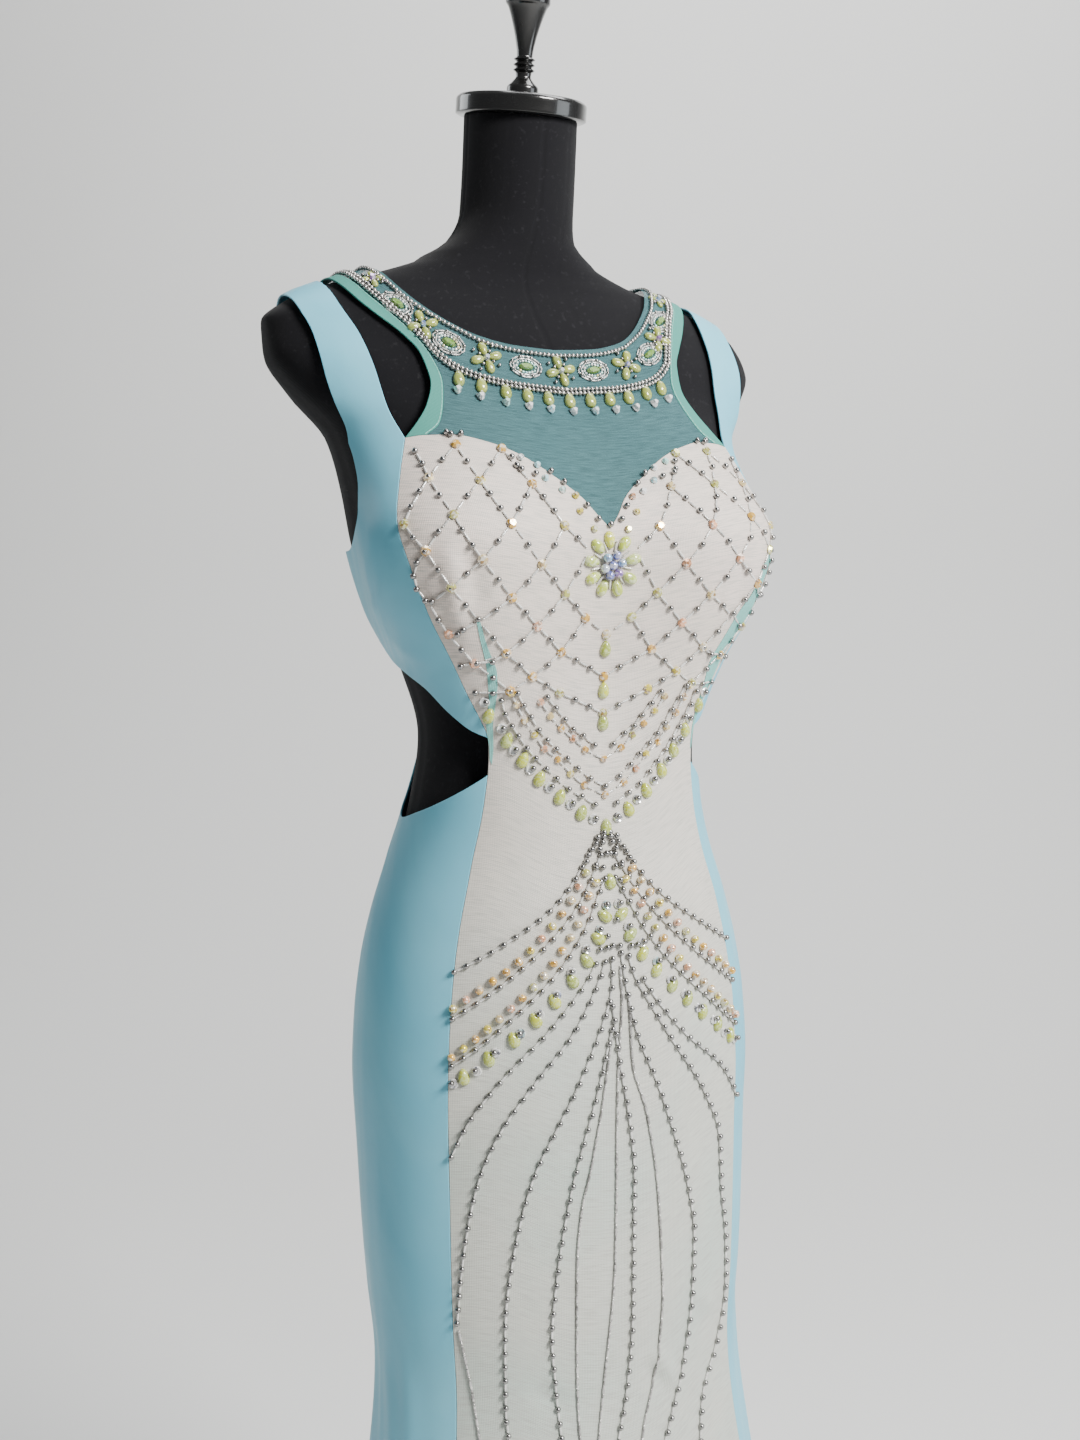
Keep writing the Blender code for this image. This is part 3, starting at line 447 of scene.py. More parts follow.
GIRTH_STEPS = 24
LENGTH_STEPS = 60
FLAT_TOP = 0.40         # lengths on the flat cut are counted from this height
FADE = 0.3              # share of a fold's line over which each end fades out
HEM_STEP = 1.25         # degrees
TO_RADIANS = (math.radians(1), 1)
# height (down if negative), half width, then the line of each soft fold
PANEL_FOLDS = (
    (0.0041, 0.0050, (-48.1, 0.1686), (-47.3, 0.1548), (-47.2, 0.1374), (-47.8, 0.1185), (-49.8, 0.0928)),
    (-0.0031, 0.0035, (-44.8, 0.1696), (-43.2, 0.1546), (-42.4, 0.1396), (-42.5, 0.1245), (-43.0, 0.1118)),
    (0.0020, 0.0030, (-51.4, 0.1476), (-51.2, 0.1376), (-51.4, 0.1250)),
    (0.0035, 0.0050, (47.6, 0.1640), (46.9, 0.1500), (47.2, 0.1330), (48.8, 0.1040)),
    (-0.0025, 0.0035, (44.0, 0.1660), (43.0, 0.1500), (43.2, 0.1200)),
    (0.0027, 0.0060, (14.2, -0.4598), (20.2, -0.4710), (27.0, -0.4896), (31.7, -0.5023)),
    (-0.0019, 0.0060, (12.0, -0.4700), (19.0, -0.4850), (26.0, -0.5040)),
    (0.0022, 0.0050, (38.8, -0.4280), (45.0, -0.4400), (51.1, -0.4533)),
    (0.0022, 0.0080, (-30.0, -0.5200), (-18.0, -0.5420), (-4.0, -0.5480)),
    (-0.0019, 0.0070, (-38.0, -0.4700), (-30.0, -0.4840), (-20.0, -0.4900)),
)


def by_angle(table, pieces=PIECES):
    """Smooth curve of angle and height through rows of degrees and height."""
    degrees, z = np.array(table, float).T
    return smooth((np.radians(degrees), z), fine_rows(len(table), pieces))


def mirrored(curve):
    return curve * np.array((-1, 1))


def chain(*curves):
    """One closed outline from curves laid end to end, each shared point once."""
    rows = []
    for curve in curves:
        for row in curve:
            if not rows or np.hypot(*(row - rows[-1])) > 1e-6:
                rows.append(row)
    if np.hypot(*(rows[0] - rows[-1])) < 1e-6:
        rows.pop()
    return np.array(rows)


def flat_place(curve):
    """Where angle and height lie on the flat cut: girth from the front, and length along the body."""
    angle = curve[:, :1]
    z = curve[:, 1:]
    share = np.linspace(0, 1, GIRTH_STEPS)
    around = body(angle * share, z + 0 * share)[..., :2]
    girth = np.linalg.norm(np.diff(around, axis=1), axis=-1).sum(-1) * np.sign(angle[:, 0])
    heights = FLAT_TOP + (z - FLAT_TOP) * np.linspace(0, 1, LENGTH_STEPS)
    radius = reach(angle + 0 * heights, heights)
    length = np.hypot(np.diff(radius, axis=1), np.diff(heights, axis=1)).sum(-1)
    return np.stack([girth, -length], -1)


def inside(outline, places):
    """Which places lie inside a closed outline."""
    hits = np.zeros(len(places), int)
    for a, b in zip(outline, np.roll(outline, -1, axis=0)):
        crosses = (a[1] > places[:, 1]) != (b[1] > places[:, 1])
        rise = np.where(crosses, b[1] - a[1], 1)
        hits += crosses & (places[:, 0] < a[0] + (places[:, 1] - a[1]) * (b[0] - a[0]) / rise)
    return hits % 2 == 1


def gap_to(outline, places):
    """Distance from each place to the nearest side of an outline."""
    nearest = np.full(len(places), 1e9)
    for a, b in zip(outline, np.roll(outline, -1, axis=0)):
        along = b - a
        share = np.clip(((places - a) @ along) / (along @ along), 0, 1)
        nearest = np.minimum(nearest, np.linalg.norm(places - a - share[:, None] * along, axis=1))
    return nearest


def spread(outline, most=0.006):
    """The closed outline with rows added until none lie further apart than most."""
    rows = []
    for a, b in zip(outline, np.roll(outline, -1, axis=0)):
        length = np.linalg.norm(body(*b) - body(*a))
        count = max(1, math.ceil(length / most))
        rows += [a + (b - a) * i / count for i in range(count)]
    return np.array(rows)


# Levels for the inner points of cloth, evenly spaced along the mean of four upright lines
heights = np.arange(HEM, 0.402, 0.002)
radii = np.mean([reach(np.full(len(heights), turn), heights) for turn in np.radians((20, 60, 100, 150))], 0)
lengths = np.concatenate([[0], np.cumsum(np.hypot(np.diff(radii), np.diff(heights)))])
LEVELS = np.interp(np.arange(LINE_GAP, lengths[-1], LINE_GAP), lengths, heights)
COLUMNS = np.arange(-220, 221)
COLUMN_STEP = math.radians(2.4)
FLARE_Z = WAVE_START - 0.15
FLARE_COLUMN_STEP = math.radians(1.6)
GRID_GIRTH = 0.20       # metres to one radian on the plain grid


def even_place(curve):
    """Angle and height as lengths on a plain grid, where no piece folds over itself."""
    return np.stack([curve[:, 0] * GRID_GIRTH, np.interp(curve[:, 1], heights, lengths)], -1)


def inner_places(outline, clear):
    """Points on even levels and columns inside a piece, clear of its outline."""
    low, high = outline[:, 0].min(), outline[:, 0].max()
    rows = []
    for level, z in enumerate(LEVELS):
        if outline[:, 1].min() < z < outline[:, 1].max():
            step = FLARE_COLUMN_STEP if z < FLARE_Z else COLUMN_STEP
            angles = (COLUMNS + 0.5 * (level % 2)) * step
            angles = angles[(angles > low) & (angles < high)]
            rows.append(np.stack([angles, np.full(len(angles), z)], -1))
    places = np.concatenate(rows)
    places = places[inside(even_place(outline), even_place(places))]
    return places[gap_to(body(*outline.T), body(*places.T)) > clear]


def ridges(rows, angle, z):
    """Height of soft ridges and troughs, each fading out at both ends of its line."""
    total = np.zeros(len(angle))
    for height, width, *line in rows:
        line = np.array(line) * TO_RADIANS
        girth = reach(line[:, 0].mean(), line[:, 1].mean())
        spots = np.stack([angle * girth, z], -1)
        marks = line * (girth, 1)
        sides = np.linalg.norm(np.diff(marks, axis=0), axis=1)
        before = np.concatenate([[0], np.cumsum(sides)])
        nearest = np.full(len(angle), 1e9)
        along = np.zeros(len(angle))
        for i, side in enumerate(sides):
            run = marks[i + 1] - marks[i]
            share = np.clip(((spots - marks[i]) @ run) / side ** 2, 0, 1)
            away = np.linalg.norm(spots - marks[i] - share[:, None] * run, axis=1)
            closer = away < nearest
            nearest[closer] = away[closer]
            along[closer] = (before[i] + share[closer] * side) / before[-1]
        fade = np.clip(np.minimum(along, 1 - along) / FADE, 0, 1)
        total += height * fade * fade * (3 - 2 * fade) * np.exp(-(nearest / width) ** 2)
    return total


def skin(places, folds=(), over=EASE + WALL):
    """Points and outward directions of the outer face of a piece of cloth."""
    points = body(places[:, 0], places[:, 1])
    away = outward(points)
    rise = over + ridges(folds, places[:, 0], places[:, 1])
    return points + away * rise[:, None] + np.array((0, 0, WAIST)), away


def cloth(name, outline, finish, lift=EASE, wall=WALL, folds=(), clear=0.0038, seam=0.0002):
    """A closed thin shell cut to its outline, with folds and softly rounded edges."""
    outline = spread(outline)
    pattern = flat_place(outline)
    if np.cross(pattern, np.roll(pattern, -1, axis=0)).sum() < 0:
        outline = outline[::-1]
        pattern = pattern[::-1]
    inner = inner_places(outline, clear)
    count = len(outline)
    places = np.concatenate([outline, inner])
    spots = np.concatenate([pattern, flat_place(inner)])
    grid = [tuple(spot) for spot in even_place(places)]
    found = delaunay_2d_cdt(grid, [], [list(range(count))], 1, 1e-7)
    number = [origin[0] for origin in found[3]]
    faces = [tuple(number[i] for i in face) for face in found[2]]
    outer, away = skin(places, folds, lift + wall)
    edge = outer[:count]
    run = np.roll(edge, -1, axis=0) - np.roll(edge, 1, axis=0)
    run /= np.linalg.norm(run, axis=1)[:, None]
    drawn = np.zeros_like(outer)
    drawn[:count] = np.cross(away[:count], run) * 0.5 * seam
    outer = outer + drawn
    lower = outer - away * wall
    first = len(outer)
    sides = [(i, i + first, (i + 1) % count + first, (i + 1) % count) for i in range(count)]
    faces = faces + [tuple(first + i for i in reversed(face)) for face in faces] + sides
    made = mesh_object(name, np.concatenate([outer, lower]), faces, finish, np.concatenate([spots, spots]))
    rounded = made.modifiers.new("rounded_edge", "BEVEL")
    rounded.width = 0.3 * wall
    rounded.segments = 2
    rounded.limit_method = "ANGLE"
    rounded.angle_limit = math.radians(60)
    return made, outline


def declare_cut(outline, strip=False):
    """Works out the cut laid flat along its own middle line, and for a strip its edge on the body; neither is
    kept.
    """
    if strip:
        edge = body(outline[:, 0], outline[:, 1])
        return
    pattern = flat_place(outline)
    middle = (outline[:, 0].min() + outline[:, 0].max()) / 2
    pattern[:, 0] -= flat_place(np.stack([np.full(len(outline), middle), outline[:, 1]], -1))[:, 0]


def hem_line(start, end):
    angles = np.radians(np.linspace(start, end, int(round(abs(end - start) / HEM_STEP)) + 1))
    return np.stack([angles, np.full(len(angles), HEM)], -1)


def weave_group():
    """Threads on the flat cut: height of the weave, uneven threads, and slow changes of tone."""
    tree, enter, leave = number_group(
        "threads", (("Pitch", 0.0006), ("Streak Width", 0.004), ("Streak Length", 0.12)),
        ("Height", "Weft", "Streaks", "Cloud"))
    place = node(tree, "ShaderNodeUVMap", uv_map="flat").outputs[0]
    warp, weft = waves(tree, place, enter["Pitch"], "XY")
    plain = node(tree, "ShaderNodeSeparateXYZ", {0: place}).outputs
    across = maths(tree, "DIVIDE", plain["X"], enter["Streak Width"])
    along = maths(tree, "DIVIDE", plain["Y"], enter["Streak Length"])
    joined = node(tree, "ShaderNodeCombineXYZ", {0: across, 1: along}).outputs[0]
    for name, output in (("Height", maths(tree, "ADD", warp, weft)), ("Weft", weft),
                         ("Streaks", noise_on(tree, joined, 1.0, 3.0)),
                         ("Cloud", noise_on(tree, place, 9.0, 4.0))):
        tree.links.new(output, leave[name])
    return tree


THREADS = weave_group()


def woven(tree, pitch, streak_width=0.004, streak_length=0.12):
    """Outputs of the threads at a pitch, with streaks of a width and length."""
    sizes = {"Pitch": pitch, "Streak Width": streak_width, "Streak Length": streak_length}
    return node(tree, "ShaderNodeGroup", sizes, node_tree=THREADS).outputs


cream, tree = finish_of("cream_net_over_lining", Roughness=0.58, Sheen_Weight=0.15, Sheen_Roughness=0.4,
                        Specular_IOR_Level=0.4)
weave = woven(tree, 0.0013, 0.016, 0.0011)
# The lining is warmer at the bust and greener under the doubled net of the skirt; the darker tone down the
# skirt is partly painted shade, and the pinkish bust partly painted highlight
height = node(tree, "ShaderNodeSeparateXYZ", {0: object_place(tree)}).outputs["Z"]
down = ranged(tree, height, WAIST + 0.12, WAIST - 0.30)
ground = blend_colour(tree, down, (0.70, 0.615, 0.55, 1), (0.57, 0.585, 0.53, 1))
patch = blend_colour(tree, down, (0.76, 0.64, 0.60, 1), (0.43, 0.56, 0.51, 1))
colour = blend_colour(tree, ranged(tree, weave["Cloud"], 0.42, 0.70, 0.0, 0.55), ground, patch)
uneven = ranged(tree, weave["Streaks"], 0.44, 0.64, 0.0, 0.56)
colour = blend_colour(tree, uneven, colour, (0.40, 0.40, 0.37, 1))
thread = ranged(tree, weave["Weft"], 0.0, 1.0, 0.0, 0.18)
colour = blend_colour(tree, thread, colour, (0.34, 0.40, 0.38, 1))
drive(tree, Base_Color=colour, Normal=bumped(tree, 0.22, 0.0003, weave["Height"]))

cup_seam = by_angle(CUP_SEAM)
sweetheart = by_angle(SWEETHEART)
skirt_seam = by_angle(SKIRT_SEAM, 3)
half = np.concatenate([sweetheart[::-1], cup_seam[::-1], skirt_seam])
panel, outline = cloth("front_panel_cloth", chain(half, hem_line(60, -60), mirrored(half)[::-1]), cream,
                       folds=PANEL_FOLDS)
place_on_form(panel, "cream_net", "front_panel")
declare_cut(outline)


# Satin of the bodice and skirt: pale aqua stretch satin. Each bodice side is cut in one with
# its strap; back bands, skirt sides and skirt backs are sewn on, and the waist is left open.
SHOULDER_Y = 0.045
BACK_TOP = 0.172
BACK_WAIST = 0.100
SIDE_ANGLE = 118.0      # seam between bodice side and back band
CUTOUT_END = 148.0
STRAP_FROM = 123.0      # the strap's two edges meet the back band here
STRAP_TO = 148.0
CUTOUT_LOW = ((51.0, -0.006), (58.0, -0.015), (68.0, -0.026), (81.0, -0.037), (96.0, -0.045),
              (108.0, -0.032), (118.0, 0.008), (130.0, 0.052), (148.0, BACK_WAIST))
CUTOUT_HIGH = ((50.0, 0.022), (56.0, 0.028), (63.0, 0.042), (70.0, 0.060), (80.0, 0.070),
               (92.0, 0.078), (102.0, 0.096), (112.0, 0.111), (128.0, 0.112), (148.0, BACK_WAIST))
BACK_EDGE = ((118.0, 0.168), (123.0, BACK_TOP), (132.0, BACK_TOP), (140.0, BACK_TOP),
             (148.0, BACK_TOP), (164.0, BACK_TOP), (180.0, BACK_TOP))
SIDE_BACK_SEAM = ((118.0, 0.168), (118.0, 0.1115))
SKIRT_BACK_ANGLE = 130.0
BACK_SKIRT_TOP = 0.052
UNDERARM = ((78.8, JOIN_Z), (77.0, 0.226), (75.5, 0.208), (75.5, 0.190), (81.0, 0.1736),
            (95.0, 0.1640), (106.0, 0.1640), (118.0, 0.168))
# The strap's edges over the shoulder, as rough points without the sway, then settled on the body
STRAP_INNER = ((0.1415, -0.040, 0.2655), (0.1445, -0.032, 0.295), (0.149, -0.0215, 0.322),
               (0.1535, -0.003, 0.347), (0.154, SHOULDER_Y, 0.362), (0.150, 0.076, 0.345),
               (0.139, 0.100, 0.300), (0.120, 0.112, 0.240))
STRAP_OUTER = ((0.171, -0.0175, 0.262), (0.1785, -0.0185, 0.292), (0.1805, -0.0115, 0.322),
               (0.181, 0.008, 0.343), (0.1815, SHOULDER_Y, 0.350), (0.180, 0.075, 0.328),
               (0.170, 0.094, 0.275), (0.152, 0.100, 0.222))
BODICE_FOLDS = (
    (0.0010, 0.0080, (64.0, 0.1900), (70.0, 0.1550), (80.0, 0.1300)),
    (0.0012, 0.0055, (62.0, 0.1500), (72.0, 0.1250), (88.0, 0.1150)),
    (0.0010, 0.0050, (58.0, 0.0800), (68.0, 0.0850), (80.0, 0.0950)),
)
SKIRT_FOLDS = (
    (0.0022, 0.0090, (78.4, -0.4300), (76.5, -0.4900), (74.9, -0.5600), (74.0, -0.6400)),
    (0.0020, 0.0080, (88.4, -0.4500), (84.0, -0.5000), (81.0, -0.5700), (80.5, -0.6500)),
    (-0.0018, 0.0090, (98.0, -0.3800), (97.0, -0.4700), (95.0, -0.5700)),
    (0.0016, 0.0110, (112.0, -0.1500), (111.0, -0.2600), (110.0, -0.4200)),
)
BACK_FOLDS = (
    (0.0022, 0.0100, (150.0, -0.2300), (149.0, -0.3600), (150.0, -0.5200)),
    (-0.0020, 0.0090, (164.0, -0.2600), (163.0, -0.4000), (165.0, -0.5600)),
    (0.0018, 0.0080, (172.0, -0.1900), (171.0, -0.3000), (172.0, -0.4400)),
    (0.0014, 0.0060, (136.0, 0.0100), (150.0, 0.0050), (166.0, 0.0120)),
)


def settle(points):
    """Move rough points along the slope until they lie on the body surface."""
    points = np.array(points, float)
    for _ in range(12):
        slope = slope_out(points)
        points -= polar(points)[2][..., None] * slope / (slope ** 2).sum(-1)[..., None]
    return points


def by_point(table):
    """Smooth curve of angle and height through rough points, settled on the body."""
    points = smooth(np.array(table, float).T, fine_rows(len(table), PIECES))
    on_middle = points[:, 0] == 0
    points[:, 0] += sway(points[:, 2])
    angle, z, _ = polar(settle(points))
    angle[on_middle] = 0
    return np.stack([angle, z], -1)


def rough_point(angle, z):
    """A point of the body without its sway, as the tables give them."""
    x, y, _ = body(angle, z)
    return x - sway(z), y, z


def between(curve, low, high):
    """The rows of a curve whose angle lies between two angles in degrees."""
    degrees = np.degrees(curve[:, 0])
    return curve[(degrees > low - 0.01) & (degrees < high + 0.01)]


def other_side(folds):
    return [(height, width, *[(-degrees, z) for degrees, z in line]) for height, width, *line in folds]


satin, tree = finish_of("aqua_satin", Specular_IOR_Level=0.4, Anisotropic=0.4,
                        Specular_Tint=(0.50, 0.86, 0.95, 1))
weave = woven(tree, 0.0005, 0.012, 0.25)
drive(tree,
      Base_Color=blend_colour(tree, ranged(tree, weave["Cloud"], 0.3, 0.7), (0.15, 0.48, 0.63, 1),
                              (0.21, 0.56, 0.70, 1)),
      Roughness=ranged(tree, weave["Streaks"], 0.35, 0.65, 0.30, 0.42),
      Normal=bumped(tree, 0.10, 0.0002, weave["Height"]))

cutout_low = by_angle(CUTOUT_LOW)
cutout_high = by_angle(CUTOUT_HIGH)
back_edge = by_angle(BACK_EDGE)
side_back_seam = by_angle(SIDE_BACK_SEAM)
underarm = by_angle(UNDERARM)
back_skirt_seam = by_angle(((SKIRT_BACK_ANGLE, BACK_SKIRT_TOP), (SKIRT_BACK_ANGLE, HEM)), 40)
cup_top = rough_point(*cup_seam[-1])
strap_inner = by_point((cup_top, *STRAP_INNER, rough_point(math.radians(STRAP_TO), BACK_TOP)))
strap_outer = by_point((rough_point(*underarm[0]), *STRAP_OUTER,
                        rough_point(math.radians(STRAP_FROM), BACK_TOP)))
closing = by_angle(((180, BACK_TOP), (180, BACK_WAIST)))
waist = by_angle(((CUTOUT_END, BACK_WAIST), (164, BACK_WAIST), (180, BACK_WAIST)))
skirt_closing = by_angle(((180, BACK_WAIST), (180, HEM)), 40)
SATIN_CUTS = (
    ("bodice_side", chain(cup_seam, strap_inner, between(back_edge, STRAP_FROM, STRAP_TO)[::-1],
                          strap_outer[::-1], underarm, side_back_seam,
                          between(cutout_high, 50, SIDE_ANGLE)[::-1]), BODICE_FOLDS),
    ("back_band", chain(side_back_seam[::-1], back_edge, closing, waist[::-1],
                        between(cutout_high, SIDE_ANGLE, CUTOUT_END)[::-1]), ()),
    ("skirt_side", chain(skirt_seam[::-1], between(cutout_low, 51, SKIRT_BACK_ANGLE), back_skirt_seam,
                         hem_line(SKIRT_BACK_ANGLE, 60)), SKIRT_FOLDS),
    ("skirt_back", chain(back_skirt_seam[::-1], between(cutout_low, SKIRT_BACK_ANGLE, CUTOUT_END),
                         waist, skirt_closing, hem_line(180, SKIRT_BACK_ANGLE)), BACK_FOLDS),
)
for name, outline, folds in SATIN_CUTS:
    for side in ("left", "right"):
        if side == "right":
            outline = mirrored(outline)
            folds = other_side(folds)
        piece, outline = cloth(f"{name}_satin_{side}", outline, satin, folds=folds)
        place_on_form(piece, "satin", f"{name}_{side}")
        declare_cut(outline)


# Net yoke above the cups and net collar round the neck: sheer aqua net through which the black
# form shows. The armhole edges are bound with a mint strip; the collar carries the beads.
NET_LIFT = 0.0016
NET_WALL = 0.0005
ARMHOLE = ((0.124, -0.052, 0.254), (0.114, -0.049, 0.268), (0.107, -0.0435, 0.287),
           (0.1095, -0.0375, 0.306), (0.118, -0.030, 0.320), (0.130, -0.021, 0.334),
           (0.1395, -0.010, 0.346), (0.146, 0.016, 0.357), (0.149, SHOULDER_Y, 0.364))
BINDING_INNER = ((0.112, -0.060, 0.250), (0.102, -0.052, 0.270), (0.098, -0.0455, 0.288),
                 (0.1015, -0.0385, 0.304), (0.109, -0.031, 0.320), (0.120, -0.021, 0.337),
                 (0.130, -0.009, 0.350), (0.137, 0.016, 0.361), (0.140, SHOULDER_Y, 0.367))
COLLAR_CORNER = 3       # the collar's lower edge meets the binding at this row
COLLAR_LOW = ((0.1015, -0.0385, 0.304), (0.088, -0.0455, 0.2925), (0.068, -0.051, 0.2845),
              (0.040, -0.0545, 0.2795), (0.000, -0.0553, 0.2768))
COLLAR_HIGH = ((0.114, SHOULDER_Y, 0.374), (0.1125, 0.018, 0.368), (0.104, -0.006, 0.3545),
               (0.084, -0.026, 0.3355), (0.060, -0.0355, 0.3215), (0.032, -0.0395, 0.3152),
               (0.000, -0.0403, 0.3131))
COLLAR_BACK_HIGH = ((0.114, SHOULDER_Y, 0.374), (0.104, 0.068, 0.364), (0.082, 0.088, 0.352),
                    (0.050, 0.100, 0.344), (0.001, 0.104, 0.340))
COLLAR_BACK_LOW = ((0.149, SHOULDER_Y, 0.364), (0.138, 0.078, 0.351), (0.109, 0.104, 0.326),
                   (0.064, 0.119, 0.302), (0.001, 0.124, 0.292))

net, tree = finish_of("aqua_net", Roughness=0.7, Specular_IOR_Level=0.05)
weave = woven(tree, 0.0013, 0.014, 0.0010)
thread = ranged(tree, weave["Weft"], -0.6, 1.0, 0.40, 0.48)
uneven = ranged(tree, weave["Streaks"], 0.35, 0.65, -0.14, 0.12)
drive(tree, Base_Color=blend_colour(tree, weave["Cloud"], (0.075, 0.185, 0.205, 1), (0.11, 0.23, 0.245, 1)),
      Alpha=maths(tree, "ADD", thread, uneven))


def tape_finish(name, pitch, low, high):
    """Plain woven tape with a colour between two tones."""
    made, tree = finish_of(name, Roughness=0.6, Specular_IOR_Level=0.2)
    weave = woven(tree, pitch)
    drive(tree, Base_Color=blend_colour(tree, weave["Cloud"], low, high),
          Normal=bumped(tree, 0.3, 0.0003, weave["Height"]))
    return made


binding_cloth = tape_finish("mint_binding", 0.0009, (0.045, 0.24, 0.20, 1), (0.075, 0.29, 0.245, 1))

foot_of_binding = sweetheart[:PIECES + 1]
binding_inner = by_point((rough_point(*foot_of_binding[-1]), *BINDING_INNER))
armhole = by_point((cup_top, *ARMHOLE))
collar_low = by_point(COLLAR_LOW)
collar_high = by_point(COLLAR_HIGH)
corner = PIECES * (COLLAR_CORNER + 1)
half = np.concatenate([sweetheart[PIECES:][::-1], binding_inner[:corner + 1], collar_low])
yoke, outline = cloth("yoke_net", chain(half, mirrored(half)[::-1]), net, NET_LIFT, NET_WALL)
place_on_form(yoke, "mesh_yoke", "yoke")
yoke_outline = outline
half = np.concatenate([collar_high[::-1], binding_inner[corner:][::-1], collar_low])
collar, outline = cloth("collar_net_front", chain(half, mirrored(half)[::-1]), net, NET_LIFT, NET_WALL)
place_on_form(collar, "mesh_yoke", "collar_front")
declare_cut(outline, strip=True)
collar_back = chain(by_point(COLLAR_BACK_LOW), by_point(COLLAR_BACK_HIGH)[::-1])
binding_cut = chain(foot_of_binding, binding_inner, armhole[::-1])
for side, turn in (("left", lambda curve: curve), ("right", mirrored)):
    piece, outline = cloth("collar_net_back_" + side, turn(collar_back), net, NET_LIFT, NET_WALL)
    place_on_form(piece, "mesh_yoke", "collar_back_" + side)
    declare_cut(outline, strip=True)
    piece, outline = cloth("binding_" + side, turn(binding_cut), binding_cloth, clear=0.0020)
    place_on_form(piece, "binding", "armhole_binding_" + side)
declare_cut(yoke_outline)


# Bead strings of the bust: silver balls, clear bugles and faceted crystals, threaded and sewn
# down in a net of diamonds that runs from the top edge of the cups to the princess seams.
BALL = 0.0047
BUGLE_LONG = 0.0048
BUGLE_WIDE = 0.0020
CRYSTAL = 0.0080
CRYSTAL_HIGH = 0.0034
LATTICE_PITCH = 0.0126
LATTICE = (
    ((36.8, 0.2311), (27.4, 0.2049), (18.1, 0.1753), (9.4, 0.1585)),
    ((49.3, 0.2340), (41.4, 0.2070), (33.4, 0.1762), (26.1, 0.1484), (18.8, 0.1271), (10.4, 0.1094),
     (0.0, 0.0970)),
    ((53.4, 0.2093), (46.1, 0.1823), (40.4, 0.1520), (34.9, 0.1252), (28.7, 0.1045), (20.7, 0.0849),
     (0.0, 0.0650)),
    ((56.8, 0.1769), (52.0, 0.1588), (47.9, 0.1342), (43.6, 0.1093), (38.7, 0.0858), (31.9, 0.0675),
     (22.0, 0.0543), (0.0, 0.0370)),
    ((54.0, 0.1227), (51.9, 0.1008), (47.9, 0.0790), (39.7, 0.0577)),
)
# String and place in it of each crossing along the strings that run the other way
CROSSING = (
    ((1, 0), (2, 0), (3, 0)),
    ((0, 0), (1, 1), (2, 1), (3, 1)),
    ((0, 1), (1, 2), (2, 2), (3, 2), (4, 0)),
    ((0, 2), (1, 3), (2, 3), (3, 3), (4, 1)),
    ((0, 3), (1, 4), (2, 4), (3, 4), (4, 2)),
    ((1, 5), (2, 5), (3, 5), (4, 3)),
)
BARE_CROSSINGS = ((0, 3), (3, 3), (4, 0))


def tree_inputs(tree, rows):
    """Named inputs of a Geometry Nodes tree, with its geometry going in and out."""
    tree.interface.new_socket("Geometry", in_out="INPUT", socket_type="NodeSocketGeometry")
    for name, kind, value in rows:
        socket = tree.interface.new_socket(name, in_out="INPUT", socket_type="NodeSocket" + kind)
        if value is not None:
            socket.default_value = value
    tree.interface.new_socket("Geometry", in_out="OUTPUT", socket_type="NodeSocketGeometry")
    return node(tree, "NodeGroupInput").outputs, node(tree, "NodeGroupOutput").inputs


def logic(tree, operation, first, second):
    return node(tree, "FunctionNodeBooleanMath", {0: first, 1: second}, operation=operation).outputs[0]


def named_vector(tree, name):
    return node(tree, "GeometryNodeInputNamedAttribute", {"Name": name}, data_type="FLOAT_VECTOR").outputs[0]


def turned_to(tree, upward, sideways):
    """Rotation that lays Z along one direction and X as near as it can to the other."""
    return node(tree, "FunctionNodeAxesToRotation", {0: upward, 1: sideways}, primary_axis="Z",
                secondary_axis="X").outputs[0]


def place_instances(tree, leave, enter, points, sockets):
    """Instances with a random tint each, made real and given their material."""
    set_down = node(tree, "GeometryNodeInstanceOnPoints", {"Points": points, **sockets})
    tint = node(tree, "FunctionNodeRandomValue", {"Seed": enter["Seed"]}, data_type="FLOAT")
    stored = node(tree, "GeometryNodeStoreNamedAttribute",
                  {"Geometry": set_down.outputs[0], "Name": "tint", "Value": tint.outputs[1]},
                  data_type="FLOAT", domain="INSTANCE")
    real = node(tree, "GeometryNodeRealizeInstances", {0: stored.outputs[0]})
    rounded = node(tree, "GeometryNodeSetShadeSmooth", {"Geometry": real.outputs[0]})
    done = node(tree, "GeometryNodeSetMaterial",
                {"Geometry": rounded.outputs[0], "Material": enter["Material"]})
    tree.links.new(done.outputs[0], leave[0])


